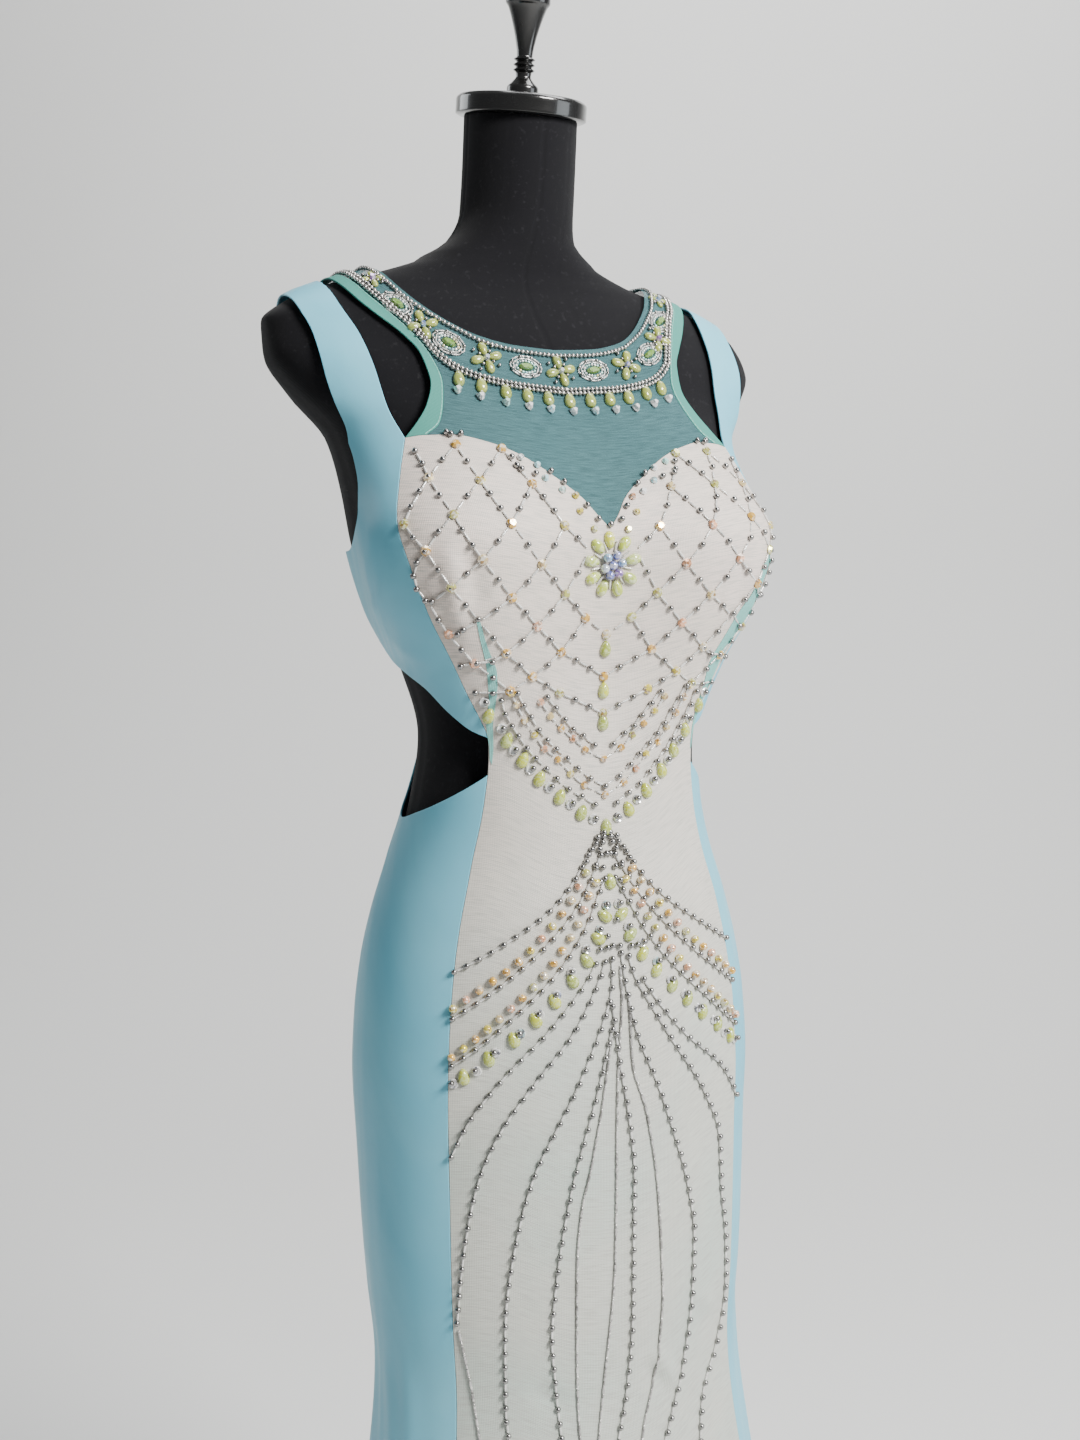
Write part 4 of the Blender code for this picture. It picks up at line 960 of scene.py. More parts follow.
def beads_on_path():
    """Balls, or bugles with a seed bead at each end, at even steps along strings or halfway between."""
    tree = bpy.data.node_groups.new("beads_on_path", "GeometryNodeTree")
    enter, leave = tree_inputs(tree, (
        ("Pitch", "Float", 0.0108), ("Halfway", "Bool", False), ("Skip Ends", "Bool", False),
        ("Length", "Float", BALL), ("Width", "Float", BALL), ("Raise", "Float", 0.0),
        ("Tube", "Bool", False), ("Sides", "Int", 8), ("Unevenness", "Float", 0.05), ("Seed", "Int", 1),
        ("Material", "Material", None)))
    curve = node(tree, "GeometryNodeMeshToCurve", {"Mesh": enter["Geometry"]})
    even = node(tree, "GeometryNodeResampleCurve", {"Curve": curve.outputs[0], "Length": enter["Pitch"]},
                mode="LENGTH")
    halved = node(tree, "GeometryNodeSubdivideCurve", {"Curve": even.outputs[0], "Cuts": 1})
    out = named_vector(tree, "out")
    lifted = node(tree, "GeometryNodeSetPosition",
                  {"Geometry": halved.outputs[0], "Offset": scaled_by(tree, out, enter["Raise"])})
    number = node(tree, "GeometryNodeSplineParameter").outputs["Index"]
    wanted = logic(tree, "XNOR", maths(tree, "MODULO", number, 2.0), enter["Halfway"])
    ends = node(tree, "GeometryNodeCurveEndpointSelection", {"Start Size": 1, "End Size": 1})
    chosen = logic(tree, "NIMPLY", wanted, logic(tree, "AND", ends.outputs[0], enter["Skip Ends"]))
    turn = turned_to(tree, node(tree, "GeometryNodeInputTangent").outputs[0], out)
    ball = node(tree, "GeometryNodeMeshUVSphere", {"Segments": enter["Sides"], "Rings": 6, "Radius": 0.5})
    tube = node(tree, "GeometryNodeMeshCylinder",
                {"Vertices": enter["Sides"], "Side Segments": 1, "Radius": 0.45, "Depth": 1.0})
    seed = node(tree, "GeometryNodeMeshUVSphere", {"Segments": 6, "Rings": 4, "Radius": 0.42})
    flat = maths(tree, "DIVIDE", enter["Width"], enter["Length"])
    round_again = node(tree, "ShaderNodeCombineXYZ", {0: 1.0, 1: 1.0, 2: flat}).outputs[0]
    bugle = node(tree, "GeometryNodeJoinGeometry")
    tree.links.new(tube.outputs[0], bugle.inputs[0])
    for share in (0.5, -0.5):
        far = maths(tree, "MULTIPLY_ADD", flat, share, share)
        spot = node(tree, "ShaderNodeCombineXYZ", {2: far}).outputs[0]
        moved = node(tree, "GeometryNodeTransform",
                     {"Geometry": seed.outputs[0], "Translation": spot, "Scale": round_again})
        tree.links.new(moved.outputs[0], bugle.inputs[0])
    shape = node(tree, "GeometryNodeSwitch",
                 {"Switch": enter["Tube"], "False": ball.outputs[0], "True": bugle.outputs[0]},
                 input_type="GEOMETRY")
    sizes = node(tree, "ShaderNodeCombineXYZ", {0: enter["Width"], 1: enter["Width"], 2: enter["Length"]})
    least = maths(tree, "SUBTRACT", 1.0, enter["Unevenness"])
    most = maths(tree, "ADD", 1.0, enter["Unevenness"])
    uneven = node(tree, "FunctionNodeRandomValue", {2: least, 3: most, "Seed": enter["Seed"]},
                  data_type="FLOAT")
    place_instances(tree, leave, enter, lifted.outputs[0],
                    {"Selection": chosen, "Instance": shape.outputs[0], "Rotation": turn,
                     "Scale": scaled_by(tree, sizes.outputs[0], uneven.outputs[1])})
    return tree


def stones_in_place():
    """Copies of one stone at points that carry their size, outward and lengthwise directions."""
    tree = bpy.data.node_groups.new("stones_in_place", "GeometryNodeTree")
    enter, leave = tree_inputs(tree, (("Stone", "Object", None), ("Seed", "Int", 1),
                                      ("Material", "Material", None)))
    points = node(tree, "GeometryNodeMeshToPoints", {"Mesh": enter["Geometry"]})
    stone = node(tree, "GeometryNodeObjectInfo", {"Object": enter["Stone"]})
    place_instances(tree, leave, enter, points.outputs[0],
                    {"Instance": stone.outputs["Geometry"],
                     "Rotation": turned_to(tree, named_vector(tree, "out"), named_vector(tree, "along")),
                     "Scale": named_vector(tree, "size")})
    return tree


BEADS = beads_on_path()
STONES = stones_in_place()


def made_by(tree, name, points, edges, vectors, sharp=65, **inputs):
    """The plain mesh that a tree makes from points, their edges and their named vectors."""
    mesh = bpy.data.meshes.new(name)
    mesh.from_pydata([tuple(p) for p in points], edges, [])
    for key, values in vectors.items():
        layer = mesh.attributes.new(key, "FLOAT_VECTOR", "POINT")
        layer.data.foreach_set("vector", np.asarray(values, np.float32).ravel())
    guide = bpy.data.objects.new(name + "_guide", mesh)
    bpy.context.scene.collection.objects.link(guide)
    modifier = guide.modifiers.new("made_by", "NODES")
    modifier.node_group = tree
    sockets = {s.name: s.identifier for s in tree.interface.items_tree if s.in_out == "INPUT"}
    for key, value in inputs.items():
        modifier[sockets[key.replace("_", " ")]] = value
    graph = bpy.context.evaluated_depsgraph_get()
    made = bpy.data.meshes.new_from_object(guide.evaluated_get(graph), depsgraph=graph)
    bpy.data.objects.remove(guide)
    made.name = name
    made.set_sharp_from_angle(angle=math.radians(sharp))
    piece = bpy.data.objects.new(name, made)
    bpy.context.scene.collection.objects.link(piece)
    return piece


def string(rows, folds=PANEL_FOLDS, over=EASE + WALL, step=0.003):
    """A smooth line on the cloth through rows of degrees and height: points and directions."""
    rows = np.array(rows, float) * TO_RADIANS
    ends = body(rows[:, 0], rows[:, 1])
    length = np.linalg.norm(np.diff(ends, axis=0), axis=1).sum()
    fine = np.linspace(0, len(rows) - 1, max(4, int(length / step)))
    if len(rows) == 2:
        line = rows[0] + (rows[1] - rows[0]) * fine[:, None]
    else:
        line = smooth(rows.T, fine)
    return skin(line, folds, over)


def strung(name, strings, finish, slot="beadwork", **inputs):
    """One piece with the beads of all the strings given."""
    points, edges, outs, start = [], [], [], 0
    for places, away in strings:
        points.append(places)
        outs.append(away)
        edges += [(start + i, start + i + 1) for i in range(len(places) - 1)]
        start += len(places)
    made = made_by(BEADS, name, np.concatenate(points), edges, {"out": np.concatenate(outs)},
                   Material=finish, **inputs)
    return place_on_form(made, slot)


def both_sides(strings):
    """Rows of degrees and height, and the same on the other side."""
    return [rows for line in strings for rows in (line, [(-degrees, z) for degrees, z in line])]


def stone_shape(name, sides, rings, narrow=0.0):
    """A stone one unit long, wide and high: its outline narrows to +X, its rows are share and height."""
    around = np.linspace(0, 2 * math.pi, sides, endpoint=False)
    outline = np.stack([0.5 * np.cos(around), 0.5 * np.sin(around) * (1 - narrow * np.cos(around))], -1)
    points = [(*(outline[i] * share), height) for share, height in rings for i in range(sides)]
    mesh = bpy.data.meshes.new(name)
    mesh.from_pydata(points, [], loft_faces(sides, len(rings)))
    return bpy.data.objects.new(name, mesh)


def stones(name, shape, rows, sizes, finish, slot="beadwork", folds=PANEL_FOLDS, over=EASE + WALL,
           seed=1, sharp=25, instead=()):
    """Stones at rows of degrees, height and lean in degrees; lean 0 points the narrow end up."""
    rows = np.array(rows, float)
    points, away = skin(rows[:, :2] * TO_RADIANS, folds, over)
    side = np.cross((0, 0, 1), away)
    side /= np.linalg.norm(side, axis=1)[:, None]
    up = np.cross(away, side)
    lean = np.radians(rows[:, 2:3])
    along = up * np.cos(lean) + side * np.sin(lean)
    sizes = np.asarray(sizes, float) * np.ones((len(rows), 3))
    made = made_by(STONES, name, points, [], {"out": away, "along": along, "size": sizes}, sharp=sharp,
                   Stone=shape, Seed=seed, Material=finish)
    return place_on_form(made, slot, *instead)


silver, tree = finish_of("silver_plate", Metallic=1.0)
worn = noise_on(tree, object_place(tree), 120.0, 3.0)
drive(tree, Base_Color=blend_colour(tree, worn, (0.27, 0.27, 0.27, 1), (0.41, 0.40, 0.39, 1)),
      Roughness=ranged(tree, worn, 0.0, 1.0, 0.16, 0.28))


def tinted_glass(name, stops, dark, painted_glints_and_crackle, **values):
    """Glass whose colour goes from bead to bead through a ramp, with painted glints inside each: pale patches
    of painted highlight, and dark patches of painted reflection, which on the crackled disc are its crackle.
    """
    made, tree = finish_of(name, **values)
    tint = node(tree, "ShaderNodeAttribute", attribute_name="tint")
    ramp = node(tree, "ShaderNodeValToRGB", {"Fac": tint.outputs["Fac"]})
    ramp.color_ramp.interpolation = "CONSTANT"
    for i, (start, colour) in enumerate(stops):
        stop = ramp.color_ramp.elements[i] if i < 2 else ramp.color_ramp.elements.new(start)
        stop.position = start
        stop.color = (*colour, 1)
    # Voronoi cells paint glints: pale cells are painted highlights and dark cells painted dark reflections;
    # on the crackled disc the dark cells are its crackle
    cells = node(tree, "ShaderNodeTexVoronoi", {"Vector": object_place(tree), "Scale": 480.0})
    split = node(tree, "ShaderNodeSeparateColor", {0: cells.outputs["Color"]}).outputs
    pale = ranged(tree, split[0], 0.45, 0.75, 0.0, painted_glints_and_crackle)
    deep = ranged(tree, split[1], 0.72, 0.90, 0.0, painted_glints_and_crackle)
    colour = blend_colour(tree, pale, ramp.outputs["Color"], (0.88, 0.87, 0.84, 1))
    drive(tree, Base_Color=blend_colour(tree, deep, colour, dark))
    return made


# In each glass: where on the ramp a colour starts, that colour, the colour of the dark painted glints, and
# how strong the painted glints are
clear_glass = tinted_glass(
    "clear_bugle_glass",
    ((0.0, (0.62, 0.62, 0.60)), (0.4, (0.74, 0.74, 0.72)), (0.8, (0.48, 0.48, 0.46))),
    (0.26, 0.25, 0.24, 1), 0.35, Roughness=0.16, Coat_Weight=1.0, Coat_Roughness=0.04, Metallic=0.1)
crystal_glass = tinted_glass(
    "coated_crystal",
    ((0.0, (0.82, 0.48, 0.08)), (0.20, (0.86, 0.44, 0.26)), (0.36, (0.78, 0.66, 0.10)),
     (0.56, (0.78, 0.62, 0.30)), (0.70, (0.84, 0.50, 0.12)), (0.84, (0.58, 0.58, 0.16))),
    (0.26, 0.12, 0.04, 1), 0.75, Roughness=0.12, Coat_Weight=0.8, Coat_Roughness=0.06, Metallic=0.35)
pale_crystal = tinted_glass(
    "pale_crystal",
    ((0.0, (0.50, 0.86, 0.80)), (0.3, (0.88, 0.90, 0.92)), (0.6, (0.88, 0.76, 0.36)),
     (0.8, (0.46, 0.80, 0.88))),
    (0.16, 0.24, 0.24, 1), 0.85, Roughness=0.05, Coat_Weight=1.0, Coat_Roughness=0.02, Metallic=0.2)
FACETED = stone_shape("faceted_crystal", 8, ((0.80, 0.0), (1.0, 0.35), (0.62, 1.0)))


def balls_along(name, strings, pitch, sides=10, seed=1, **inputs):
    """Silver balls at even steps along some strings."""
    strung(name, strings, silver, Pitch=pitch, Raise=0.4 * BALL, Sides=sides, Seed=seed, **inputs)


def bugles_along(name, strings, pitch, length, seed=1, glass=clear_glass, width=BUGLE_WIDE,
                 up=0.5 * BUGLE_WIDE):
    """Bugles halfway between the even steps of some strings."""
    strung(name, strings, glass, Pitch=pitch, Halfway=True, Tube=True, Length=length, Width=width,
           Raise=up, Sides=6, Seed=seed)


def crystals(name, rows, size, glass, seed):
    """Faceted crystals, all of one height."""
    stones(name, FACETED, rows, (size, size, CRYSTAL_HIGH), glass, seed=seed)


def joined(line):
    """The sides of a line through some marks, each as a string of its own."""
    return list(zip(line[:-1], line[1:]))


cell_sides = []
for line in LATTICE:
    cell_sides += joined(line)
for line in CROSSING:
    cell_sides += joined([LATTICE[row][place] for row, place in line])
lattice_strings = [string(rows) for rows in both_sides(cell_sides)]
balls_along("bust_balls", lattice_strings, LATTICE_PITCH, Skip_Ends=True)
bugles_along("bust_bugles", lattice_strings, LATTICE_PITCH, BUGLE_LONG)
marks = [(*mark, 0) for row, line in enumerate(LATTICE) for place, mark in enumerate(line)
         if (row, place) not in BARE_CROSSINGS]
marks += [(-degrees, z, lean) for degrees, z, lean in marks if degrees]
crystals("bust_crystals", marks, CRYSTAL, crystal_glass, seed=3)


# Top edge of the cups: crystals and balls sewn round the sweetheart line, and the strings that
# run down inside the princess seam from the strap's foot.
OUTER_CRYSTALS = ((30.9, 0.2243), (25.3, 0.2191), (22.8, 0.2095), (17.0, 0.2008))
INNER_CRYSTALS = ((12.1, 0.1968), (11.5, 0.1854), (6.9, 0.1732))
EDGE_BALLS = ((33.8, 0.2241), (30.8, 0.2151), (26.3, 0.2123), (20.6, 0.2145), (16.0, 0.2066), (8.4, 0.1895),
              (4.9, 0.1800), (52.6, 0.2428), (51.3, 0.2412), (48.8, 0.2418))
EDGE_STRING = ((58.6, 0.2293), (55.7, 0.2194), (53.4, 0.2093))
SEAM_STRING = ((52.1, 0.1583), (54.6, 0.1500), (56.2, 0.1373), (54.6, 0.1252))
SHORT_STRINGS = (((48.1, 0.1343), (50.5, 0.1294), (53.1, 0.1245)),
                 ((43.7, 0.1113), (46.3, 0.1057), (49.4, 0.1019)),
                 ((51.8, 0.0778), (47.6, 0.0798), (44.6, 0.0788), (38.7, 0.0858)),
                 ((50.1, 0.0578), (47.2, 0.0573), (44.8, 0.0569), (39.7, 0.0577)))
TIP_BALL = (0.0, 0.1762, 0)
EDGE_STONE = 0.0058
SHORT_PITCH = 0.0096
SHORT_BUGLE = 0.0044
ROUND_BEAD = stone_shape("round_bead", 10, ((0.30, 0.04), (0.75, 0.16), (1.0, 0.5), (0.75, 0.84),
                                            (0.30, 0.96)))


def both(rows):
    """Rows of degrees, height and lean on both sides; those on the middle line once."""
    rows = [(*row, 0)[:3] for row in rows]
    return rows + [(-degrees, z, -lean) for degrees, z, lean in rows if degrees]


def silver_balls(name, rows, size=BALL, **more):
    """Silver balls sewn down one by one."""
    stones(name, ROUND_BEAD, rows, size, silver, sharp=80, **more)


crystals("outer_edge_crystals", both(OUTER_CRYSTALS), EDGE_STONE, pale_crystal, seed=8)
crystals("inner_edge_crystals", both(INNER_CRYSTALS), EDGE_STONE, crystal_glass, seed=8)
silver_balls("edge_balls", both(EDGE_BALLS) + [TIP_BALL])
edge_strings = [string(rows) for rows in both_sides((EDGE_STRING, SEAM_STRING, *SHORT_STRINGS))]
balls_along("seam_string_balls", edge_strings, SHORT_PITCH, seed=2)
bugles_along("seam_string_bugles", edge_strings, SHORT_PITCH, SHORT_BUGLE, seed=2)


# Lime drops: glossy opal glass cabochons glued and sewn down, each hanging from a silver ball.
# They mark the middle line, the point over the waist and the sweep over the hips.
# Stones are given as length, width and height
LIME_DROP = (0.0130, 0.0088, 0.0044)
DISC = (0.0084, 0.0084, 0.0022)
DISC_BALL_OFF = (-0.7, 0.0008)          # degrees and height from the disc
POINT_LEAN = -23
POINT_DROPS = ((48.2, 0.0395), (43.5, 0.0205), (38.0, 0.0052), (31.4, -0.0095), (22.6, -0.0240),
               (12.4, -0.0370))
POINT_ROUNDS = ((48.4, 0.0500), (44.8, 0.0297), (41.2, 0.0130), (35.0, -0.0020), (27.3, -0.0165),
                (17.6, -0.0300), (6.5, -0.0425))
SWEEP_DROPS = ((3.9, -0.1150, 50), (7.3, -0.1310, 55), (12.6, -0.1466, 38), (18.6, -0.1605, 30),
               (25.6, -0.1745, 32), (32.4, -0.1875, 32), (39.6, -0.2010, 22), (47.2, -0.2145, 18),
               (54.2, -0.2280, 8))
CENTRE_DROPS = (0.0860, 0.0545, 0.0300, -0.0490, -0.0905)
BALL_OVER = 0.0012      # the ball that holds a disc stands this far over the cloth
DROP_SHAPE = stone_shape("drop_cabochon", 14, ((0.94, 0.0), (1.0, 0.22), (0.90, 0.58), (0.66, 0.85),
                                               (0.32, 0.98)), narrow=0.22)
DISC_SHAPE = stone_shape("cupped_disc", 12, ((0.9, 0.0), (1.0, 0.5), (0.8, 1.0), (0.45, 0.7)))


def opal_finish(name, deep, pale, glint):
    """Marbled glass: cloudy veins in a deeper ground, under a clear gloss; from stone to stone the ground
    runs towards a painted glint colour.
    """
    made, tree = finish_of(name, Roughness=0.18, Coat_Weight=1.0, Coat_Roughness=0.04)
    veins = ranged(tree, noise_on(tree, object_place(tree), 330.0, 3.0, 1.4), 0.44, 0.60)
    tint = node(tree, "ShaderNodeAttribute", attribute_name="tint").outputs["Fac"]
    ground = blend_colour(tree, ranged(tree, tint, 0.0, 1.0, 0.15, 0.95), deep, glint)
    drive(tree, Base_Color=blend_colour(tree, veins, ground, pale))
    return made


def moved(rows, offset):
    """Rows of degrees and height, each moved by the same offset."""
    return [(degrees + offset[0], z + offset[1]) for degrees, z in rows]


lime_opal = opal_finish("lime_opal", (0.22, 0.30, 0.06, 1), (0.52, 0.60, 0.26, 1), (0.58, 0.60, 0.03, 1))
disc_glass = tinted_glass(
    "crackled_disc", ((0.0, (0.84, 0.86, 0.87)), (0.5, (0.90, 0.91, 0.91))),
    (0.06, 0.06, 0.07, 1), 0.9, Roughness=0.1, Coat_Weight=1.0, Coat_Roughness=0.03, Metallic=0.3)

drops = both([(degrees, z, POINT_LEAN) for degrees, z in POINT_DROPS]) + both(SWEEP_DROPS)
drops += [(0.0, z, 0) for z in CENTRE_DROPS]
stones("lime_drops", DROP_SHAPE, drops, LIME_DROP, lime_opal, slot="lime_stone", seed=5, sharp=70)
stones("clear_discs", DISC_SHAPE, both(POINT_ROUNDS), DISC, disc_glass, sharp=40)
silver_balls("disc_balls", both(moved(POINT_ROUNDS, DISC_BALL_OFF)), over=EASE + WALL + BALL_OVER)


# Rows that meet in a point over the waist: crystals with a silver ball above each, and short
# bugles between them.
POINT_CRYSTALS = ((29.9, 0.0482), (26.5, 0.0373), (22.0, 0.0277), (16.2, 0.0195), (10.0, 0.0102),
                  (0.0, 0.0025), (39.5, 0.0559), (38.5, 0.0471), (36.6, 0.0350), (33.3, 0.0241),
                  (29.5, 0.0126), (23.4, 0.0040), (17.6, -0.0071), (10.7, -0.0165), (0.0, -0.0249))
UPPER_BALLS = ((27.5, 0.0523), (24.3, 0.0436), (20.4, 0.0346), (16.6, 0.0266), (11.4, 0.0213), (5.3, 0.0135))
MIDDLE_BALLS = ((37.6, 0.0563), (36.2, 0.0469), (34.2, 0.0380), (31.7, 0.0277), (28.5, 0.0197),
                (24.6, 0.0125), (19.5, 0.0048), (14.3, -0.0031), (7.8, -0.0115), (0.0, -0.0181))
LOWER_BALLS = ((43.0, 0.0515), (42.7, 0.0411), (41.2, 0.0318), (39.4, 0.0240), (36.5, 0.0144), (33.2, 0.0063),
               (28.8, -0.0020), (24.3, -0.0099), (18.7, -0.0185), (12.5, -0.0244), (5.7, -0.0314))
POINT_STONE = 0.0062
POINT_PITCH = 0.0100
POINT_BUGLE = 0.0042

crystals("point_crystals", both(POINT_CRYSTALS), POINT_STONE, crystal_glass, seed=11)
silver_balls("point_balls", both(UPPER_BALLS + MIDDLE_BALLS + LOWER_BALLS))
point_strings = [string(rows) for rows in both_sides((UPPER_BALLS, MIDDLE_BALLS, LOWER_BALLS,
                                                      POINT_CRYSTALS[:6], POINT_CRYSTALS[6:]))]
bugles_along("point_bugles", point_strings, POINT_PITCH, POINT_BUGLE, seed=4)


# Swags over the hips: strings that fan out below the waist drop and swing down to the princess
# seams, one of silver balls, two with a row of crystals over a row of balls.
FAN_BALLS = ((4.8, -0.0560), (1.8, -0.0560), (2.5, -0.0605), (4.1, -0.0653), (0.9, -0.0690), (7.8, -0.0650),
             (6.3, -0.0771), (3.0, -0.0795), (8.9, -0.0881), (4.8, -0.0900), (10.5, -0.0740))
# Balls gathered where the long strings begin, on the right and left of the middle line
GATHERED_BALLS = ((-6.9, -0.1393), (-3.7, -0.1384), (-1.4, -0.1373), (1.9, -0.1380), (7.1, -0.1392),
                  (10.0, -0.1390), (1.2, -0.1184), (-3.4, -0.1299))
BALL_SWAG = ((1.5, -0.0530), (7.8, -0.0650), (15.3, -0.0855), (23.0, -0.1024), (30.2, -0.1143),
             (38.7, -0.1261), (47.2, -0.1382), (57.0, -0.1510))
CRYSTAL_SWAG = ((11.2, -0.0823), (18.6, -0.1030), (26.0, -0.1196), (33.5, -0.1357), (40.8, -0.1495),
                (48.8, -0.1624), (57.0, -0.1775))
UNDER_SWAG = ((3.5, -0.0700), (8.9, -0.0881), (15.4, -0.1070), (23.0, -0.1238), (31.0, -0.1396),
              (39.2, -0.1543), (46.9, -0.1678), (57.2, -0.1850))
CRYSTAL_SWEEP = ((7.0, -0.0900), (10.4, -0.0992), (16.4, -0.1214), (23.6, -0.1409), (30.7, -0.1583),
                 (39.4, -0.1758), (47.1, -0.1919), (57.4, -0.2131))
UNDER_SWEEP = ((2.4, -0.0880), (6.6, -0.1017), (12.0, -0.1218), (18.5, -0.1402), (25.5, -0.1569),
               (32.9, -0.1721), (40.5, -0.1870), (47.5, -0.2009), (57.4, -0.2200))
SWEEP_GAPS = ((2.7, -0.1075), (6.3, -0.1248), (12.4, -0.1383), (18.8, -0.1544), (24.8, -0.1702),
              (31.1, -0.1834), (37.4, -0.1967), (45.1, -0.2100), (50.6, -0.2235), (57.0, -0.2330))
SWAG_PITCH = 0.0104
CRYSTAL_PITCH = 0.0112
SWAG_BUGLE = 0.0046
SWAG_CRYSTAL = (0.0062, 0.0072)         # length along the string, and width
SWEEP_DISC = (0.0078, 0.0078, 0.0022)
SWEEP_BALL_OVER = 0.0014
SWEEP_BALL_OFF = (0.4, 0.0008)

silver_balls("fan_balls", both(FAN_BALLS) + [(*row, 0) for row in GATHERED_BALLS])
ball_swags = [string(rows) for rows in both_sides((BALL_SWAG, UNDER_SWAG, UNDER_SWEEP))]
balls_along("swag_balls", ball_swags, SWAG_PITCH, seed=6)
bugles_along("swag_bugles", ball_swags, SWAG_PITCH, SWAG_BUGLE, seed=6)
crystal_swags = [string(rows) for rows in both_sides((CRYSTAL_SWAG, CRYSTAL_SWEEP))]
strung("swag_crystals", crystal_swags, crystal_glass, Pitch=CRYSTAL_PITCH, Raise=0.4 * POINT_STONE,
       Sides=7, Length=SWAG_CRYSTAL[0], Width=SWAG_CRYSTAL[1], Seed=21)
blue_crystal = tinted_glass(
    "blue_crystal",
    ((0.0, (0.17, 0.20, 0.56)), (0.25, (0.60, 0.68, 0.78)), (0.5, (0.42, 0.24, 0.60)),
     (0.75, (0.28, 0.46, 0.70))),
    (0.05, 0.05, 0.20, 1), 0.6, Roughness=0.06, Coat_Weight=1.0, Coat_Roughness=0.02, Metallic=0.35)
sweep_disc_glass = tinted_glass(
    "sweep_disc",
    ((0.0, (0.86, 0.87, 0.88)), (0.40, (0.52, 0.58, 0.80)), (0.55, (0.88, 0.88, 0.87)),
     (0.80, (0.56, 0.76, 0.78))),
    (0.08, 0.08, 0.12, 1), 0.85, Roughness=0.08, Coat_Weight=1.0, Coat_Roughness=0.03, Metallic=0.3)
stones("sweep_discs", DISC_SHAPE, both(SWEEP_GAPS), SWEEP_DISC, sweep_disc_glass, seed=13, sharp=40)
silver_balls("sweep_disc_balls", both(moved(SWEEP_GAPS, SWEEP_BALL_OFF)),
             over=EASE + WALL + SWEEP_BALL_OVER)


# Long strings down the skirt: silver balls with a clear bugle between them, or bugles with
# seed beads alone. They start behind the swags, bow outwards over the hips and draw in again.
BALL_STRINGS = (
    ((-8.9, -0.1498), (-11.7, -0.1593), (-26.7, -0.194), (-41.5, -0.226), (-52.8, -0.261), (-58.1, -0.289)),
    ((-4.9, -0.1490), (-6.9, -0.1596), (-18.1, -0.198), (-32.3, -0.233), (-43.8, -0.269), (-51.1, -0.310),
     (-55.9, -0.365), (-58.7, -0.419)),
    ((-1.7, -0.1474), (-1.9, -0.1599), (-2.4, -0.1713), (-6.8, -0.195), (-16.0, -0.235), (-26.3, -0.274),
     (-34.1, -0.308), (-40.3, -0.357), (-44.5, -0.419), (-45.4, -0.487), (-40.5, -0.545), (-30.0, -0.600)),
    ((-2.9, -0.200), (-8.7, -0.242), (-15.1, -0.284), (-20.6, -0.323), (-26.2, -0.384), (-28.9, -0.436),
     (-27.9, -0.470), (-25.0, -0.530), (-17.0, -0.600)),
    ((-2.5, -0.183), (0.4, -0.227), (4.2, -0.269), (7.0, -0.315), (6.8, -0.364), (6.6, -0.431), (4.0, -0.486),
     (-2.0, -0.530), (-6.0, -0.590)),
    ((2.5, -0.1436), (2.9, -0.1523), (3.6, -0.1635), (8.0, -0.204), (16.4, -0.243), (25.2, -0.289),
     (32.6, -0.335), (36.6, -0.381), (36.2, -0.430), (33.5, -0.474), (26.0, -0.515), (14.0, -0.560)),
    ((5.8, -0.1467), (7.0, -0.1557), (8.8, -0.1656), (22.1, -0.209), (39.4, -0.263), (48.5, -0.305),
     (50.4, -0.348), (54.6, -0.400), (55.8, -0.445), (51.5, -0.480), (42.2, -0.512), (36.0, -0.560)),
    ((12.1, -0.1657), (15.9, -0.1780), (29.8, -0.212), (49.3, -0.250), (58.8, -0.280)),
)
BUGLE_STRINGS = (
    ((-58.4, -0.425), (-56.0, -0.467), (-53.6, -0.508), (-48.0, -0.570)),
    ((-3.0, -0.205), (-6.7, -0.249), (-12.1, -0.304), (-16.2, -0.336), (-18.4, -0.380), (-19.0, -0.470),
     (-18.0, -0.530), (-12.0, -0.590)),
    ((1.9, -0.1537), (1.7, -0.1663), (2.1, -0.1759), (-0.9, -0.254), (-1.2, -0.323), (-1.8, -0.385),
     (-6.7, -0.473), (-11.5, -0.535)),
    ((4.9, -0.1798), (5.3, -0.1927), (6.1, -0.228), (12.5, -0.269), (17.7, -0.324), (20.3, -0.380),
     (21.4, -0.423), (18.9, -0.475), (10.8, -0.522), (4.0, -0.575)),
)
STRING_PITCH = 0.0108
STRING_BUGLE = 0.0056
BUGLE_PITCH = 0.0094
FINE_BUGLE = (0.0060, 0.0024)           # length and width

lines = [string(rows) for rows in BALL_STRINGS]
balls_along("string_balls", lines, STRING_PITCH, sides=9, seed=31)
bugles_along("string_bugles", lines, STRING_PITCH, STRING_BUGLE, seed=31)
smoky_glass = tinted_glass(
    "silver_lined_bugle_glass",
    ((0.0, (0.46, 0.45, 0.44)), (0.35, (0.66, 0.65, 0.63)), (0.7, (0.30, 0.29, 0.28))),
    (0.10, 0.10, 0.10, 1), 0.5, Roughness=0.15, Coat_Weight=1.0, Coat_Roughness=0.04, Metallic=0.4)
lines = [string(rows) for rows in BUGLE_STRINGS]
bugles_along("fine_string_bugles", lines, BUGLE_PITCH, FINE_BUGLE[0], 33, smoky_glass, FINE_BUGLE[1])


